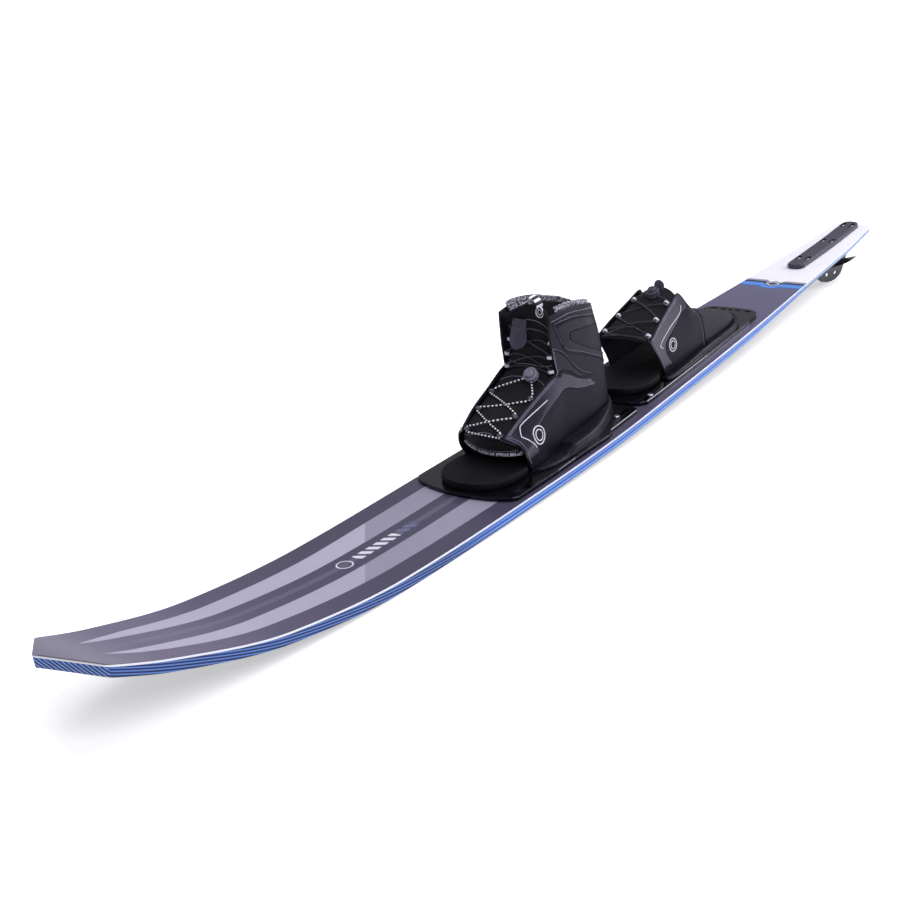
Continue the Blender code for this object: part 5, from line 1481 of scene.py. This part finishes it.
# %% Screws
def screw(centre, reach, head, low, high):
    """A pan head screw with a six sided socket, from a low height to a high one over its centre."""
    profile = [(0, low), (reach, low), (reach, high - 1.8), (head * 0.99, high - 1.8), (head, high - 1.2)]
    profile += [(head * 0.9, high - 0.5), (head * 0.66, high - 0.08), (head * 0.52, high), (head * 0.46, high - 0.1)]
    profile += [(head * 0.44, high - 1.0), (0, high - 1.1)]
    points, faces, lay = turned_skin(profile, centre, (0, 0, 1), 48)
    rows = points.reshape(len(profile), 48, 3)
    flat = 1 / np.cos((np.arange(48) * 2 * math.pi / 48 % (math.pi / 3)) - math.pi / 6) * 0.93
    for k in (8, 9):
        base = np.asarray(centre) + (0, 0, profile[k][1])
        rows[k] = base + (rows[k] - base) * flat[:, None]
    return points, faces, lay


BLOCK_TOP = 7.2
places = [(x, y) for x in (188.0, 100.0, 24.0) for y in (7.9, -7.9)]
some = [screw((x, y, deck(x)[0] + BLOCK_TOP - 2.6), 2.6, 2.9, 0.3, 2.05) for x, y in places]
covers = [f"fin_screw_{k}" for k in range(1, 7)]
piece("fin_block_screws", joined(*some), STEEL, "ski", covers, False)
for prefix, x, y in (("front", 833.5, 56.1), ("rear", 755.5, 59.9)):
    some = [screw((x, side * y, deck(x)[0]), 1.9, 4.3, GAP, SEAT + 2.2) for side in BOTH]
    covers = [f"{prefix}_screw_near", f"{prefix}_screw_far"]
    piece(f"{prefix}_plate_screws", joined(*some), STEEL, "ski", covers, False)

# %% [markdown]
# ## The rear boot
# A low, open boot for the back foot: a moulded rubber heel, two leather sides that rise to the lace edges, and a
# short quilted tongue. The sides carry the same films, line and stitches as the front boot's.
# %% Heel and sides
us, vs = crowded(-5.4, 5.4, 120, 0.8), crowded(0, 1, 34, 0.8)
form = pad(LOW_BOOT.lifted, us, vs, 0.0, -WALL_THICK, 1.6, "v0")
piece("rear_rubber_heel", form, RUBBER, REAR_GEAR, ["rear_heel"])
swell = full_between(8.0, 0.4, 2.0, 0.3, 0.5)
for side, tag in zip(BOTH, ("near", "far")):
    us = crowded(5.42, 11, 70, 0.8) * side
    form = pad(LOW_BOOT.lifted, us, crowded(0, 1, 40, 0.8), 0.0, -WALL_THICK, 1.4, "v0", swell)
    made = piece(f"rear_boot_side_{tag}", form, UPPER, REAR_GEAR, [f"rear_upper_{tag}"])
# %% The rear boot's films and stitches
band_front = [(10.98, 0.1), (10.99, 0.35), (10.99, 0.65), (10.96, 0.975), (9.6, 0.985), (8.3, 0.985), (7.7, 0.975)]
band_back = [(9.95, 0.1), (10.12, 0.3), (9.9, 0.48), (9.2, 0.56), (8.3, 0.68), (7.4, 0.82), (7.24, 0.97)]
heel_line = [(5.42, 0.04), (5.42, 0.5), (5.42, 0.96)]
accent = [(7.94, 0.82), (8.2, 0.74), (9.31, 0.67), (10.1, 0.62), (10.45, 0.55), (10.29, 0.44)]
rows = [(seam, [(10.85, at), (9.5, at + 0.01), (8.3, at + 0.01)], 80, 0.9) for at in (0.955, 0.92)]
rows.append((seam, [(8.1, 0.97), (7.0, 0.955), (5.7, 0.95)], 60))
rows.append((seam, [(10.84, 0.1), (10.86, 0.5), (10.84, 0.9)], 50, 0.9))
rows.append((seam, [(5.75, 0.06), (5.75, 0.5), (5.75, 0.93)], 50))
prints = [(line_on, accent, 1.1, 1.1, 0.2, 70)]
prints += [(ring_on, 9.45, 0.34, 9.0, 1.3, 0.8, -0.4), (ring_on, 9.45, 0.34, 5.4, 1.0, 0.8, -0.4)]
rear_trim = {
    "film": (TRIM, BOTH, [(film, band_front, band_back, 0.7, -0.5, 90, 12, 0.9)]),
    "piping": (DARK_TRIM, BOTH, [(line_on, band_back, 1.0, 1.0, -0.3, 80), (line_on, heel_line, 2.0, 0.6, -0.3, 50)]),
    "print": (WHITE_PRINT, BOTH, prints),
    "stitches": (PALE_THREAD, BOTH, rows),
}
trimmed("rear_boot", LOW_BOOT, REAR_GEAR, rear_trim)
# %% The rear tongue, footbed and frame
arc = [(0.1, -1.0), (0.55, -0.6), (0.75, -0.1), (0.75, 0.2), (0.5, 0.6), (0.1, 1.0)]
quilted_tongue("rear", REAR_TONGUE, 4, 90, [arc], 0.9, 0.1, REAR_GEAR)
rows = [(seam, arc, 70, -0.1, 3.2), (seam, [(0.14, -0.9), (0.14, 0), (0.14, 0.9)], 60, 0.4)]
trimmed("rear_tongue", REAR_TONGUE, REAR_GEAR, {"stitches": (PALE_THREAD, (1,), rows)})
toe = [(774, 0), (771, 20), (763, 36), (748, 46), (728, 49), (713, 48.5), (706.5, 46), (704.5, 41.5)]
footbed("rear_foam_footbed", LOW_BOOT, toe, REAR_GEAR, ["rear_footbed"])
us = [11, 10.5, 10, 9, 8, 7, 6, 5, 4, 3, 2.4, 2, 1.5, 1, 0.5, 0]
outer = "703 57,696 59,678 60,645 59,625 58,605 57,588 56,570 55,544 54,516 52.5,500 50,487 45.5,472 37,463 27"
outer = guides(outer + ",457 14,455 0")
tall = [9, 9.6, 10.5, 12, 13, 14, 14, 14, 14, 14, 14, 14.5, 15, 15.5, 16, 16]
frame_wall("rear_moulded_frame", LOW_BOOT, us, outer, tall, 0.6, (0.0, 0.15, 0.3, 0.4), REAR_GEAR, ["rear_frame"])
# %% The rear lace, loops, lock and tab
REAR_ROW = [(0.3, 10.6), (1.3, 9.6), (2.35, 8.7)]
rear_loops = loops_up(REAR_TONGUE, LOW_BOOT, REAR_ROW)
rear_lock = placed(REAR_TONGUE, 2.75, 0.0, 1.0)
ends = lock_ends(rear_lock, rear_loops)
lace("rear_lace_braid", REAR_TONGUE, REAR_ROW, rear_loops, ends, LACE_R, BLACK_CORD, REAR_GEAR, "rear_lace")
tape_loops("rear_tape_loops", "rear_loop", rear_loops, LOOP_TAPE, REAR_GEAR)
cord_lock("rear", rear_lock, REAR_GEAR, DARK_ACETAL)
# A short tab stands behind the rear lock, to open the lace with.
behind = at_one(REAR_TONGUE.lifted, 3.35, 0.0, 0.0) + (-3.0, 0.0, 3.0)
down, facing = unit(np.array([0.25, 0.0, -1.0])), np.array([0.97, 0.0, 0.243])
form = moulded_tab(behind, np.array([0.0, 1.0, 0.0]), down, facing, 0.6)
piece("rear_tab", form, DARK_ACETAL, REAR_GEAR)

# %% [markdown]
# ## Floor and light
# A pale studio floor meets a background of the same white. One large soft lamp stands above the nose side, a weaker
# one overhead and a narrow one low behind the tail, so that the black gear keeps soft highlights along its edges. The
# floor is plain white to the camera and still takes the shadow: its own glow is weak under the ski and full further
# out.
# %% The floor
def seen_plainly(tree, in_gloss=1.0):
    """1 for what the camera sees itself or through glass, a share of that in a gloss, and 0 for light on a piece."""
    path = add(tree, "LightPath", {}).node.outputs
    gloss = add(tree, "Math", [path["Is Glossy Ray"], in_gloss], operation="MULTIPLY")
    seen = add(tree, "Math", [path["Is Camera Ray"], gloss], operation="MAXIMUM")
    return add(tree, "Math", [seen, path["Is Transmission Ray"]], operation="MAXIMUM")


FLOOR_HALF = 14
WEAK_TO, FULL_FROM, WEAK_GLOW = 1.3, 3.5, 0.5
FLOOR, tree, shader = finish("white_studio_floor", Roughness=0.9, Emission_Color=(1, 1, 1, 1))
tree.links.new(layered(tree, "#f2f2f4", (mottle(tree, 400.0), "#f5f5f7")), shader.inputs["Base Color"])
where = add(tree, "TexCoord", {}, "Object")
away = add(tree, "VectorMath", [where], "Value", operation="LENGTH")
strength = add(tree, "MapRange", [away, WEAK_TO, FULL_FROM, WEAK_GLOW, 1.0])
tree.links.new(both(tree, seen_plainly(tree), strength), shader.inputs["Emission Strength"])
corners = [(x * FLOOR_HALF, y * FLOOR_HALF, 0) for x, y in ((-1, -1), (1, -1), (1, 1), (-1, 1))]
floor_mesh = bpy.data.meshes.new("studio_floor")
floor_mesh.from_pydata(corners, [], [(0, 1, 2, 3)])
floor_mesh.materials.append(FLOOR)
floor = bpy.data.objects.new("studio_floor", floor_mesh)
bpy.context.scene.collection.objects.link(floor)
print("floor", 2 * FLOOR_HALF, "m square")


# %% Lamps and world
def lamp(name, place, aim, size, power):
    """A soft rectangular lamp, in metres and watts, turned to a point."""
    made = bpy.data.lights.new(name, "AREA")
    made.color = (0.965, 0.96, 1.0)
    made.shape, made.size, made.size_y, made.energy = "RECTANGLE", size[0], size[1], power
    holder = bpy.data.objects.new(name, made)
    bpy.context.scene.collection.objects.link(holder)
    holder.location = place
    holder.rotation_euler = (Vector(aim) - Vector(place)).to_track_quat("-Z", "Y").to_euler()


lamp("key_softbox", (1.2, 2.2, 2.8), (0, 0, 0.1), (2.2, 2.2), 62)
lamp("overhead_softbox", (-0.6, -0.3, 3.2), (0, 0, 0.1), (3.2, 2.0), 46)
lamp("edge_strip_light", (-1.9, 0.9, 1.35), (0.2, 0, 0.1), (0.35, 1.5), 26)
SKYLIGHT, WHITE = (0.28, 0.28, 0.31, 1), (1, 1, 1, 1)
world = bpy.data.worlds.new("studio")
bpy.context.scene.world = world
world.use_nodes = True
tree = world.node_tree
white = layered(tree, SKYLIGHT, (seen_plainly(tree, 0.12), WHITE))
tree.links.new(white, tree.nodes["Background"].inputs["Color"])
bpy.context.scene.view_settings.view_transform = "Standard"
print("lamps", [(lamp.name, lamp.energy) for lamp in bpy.data.lights])
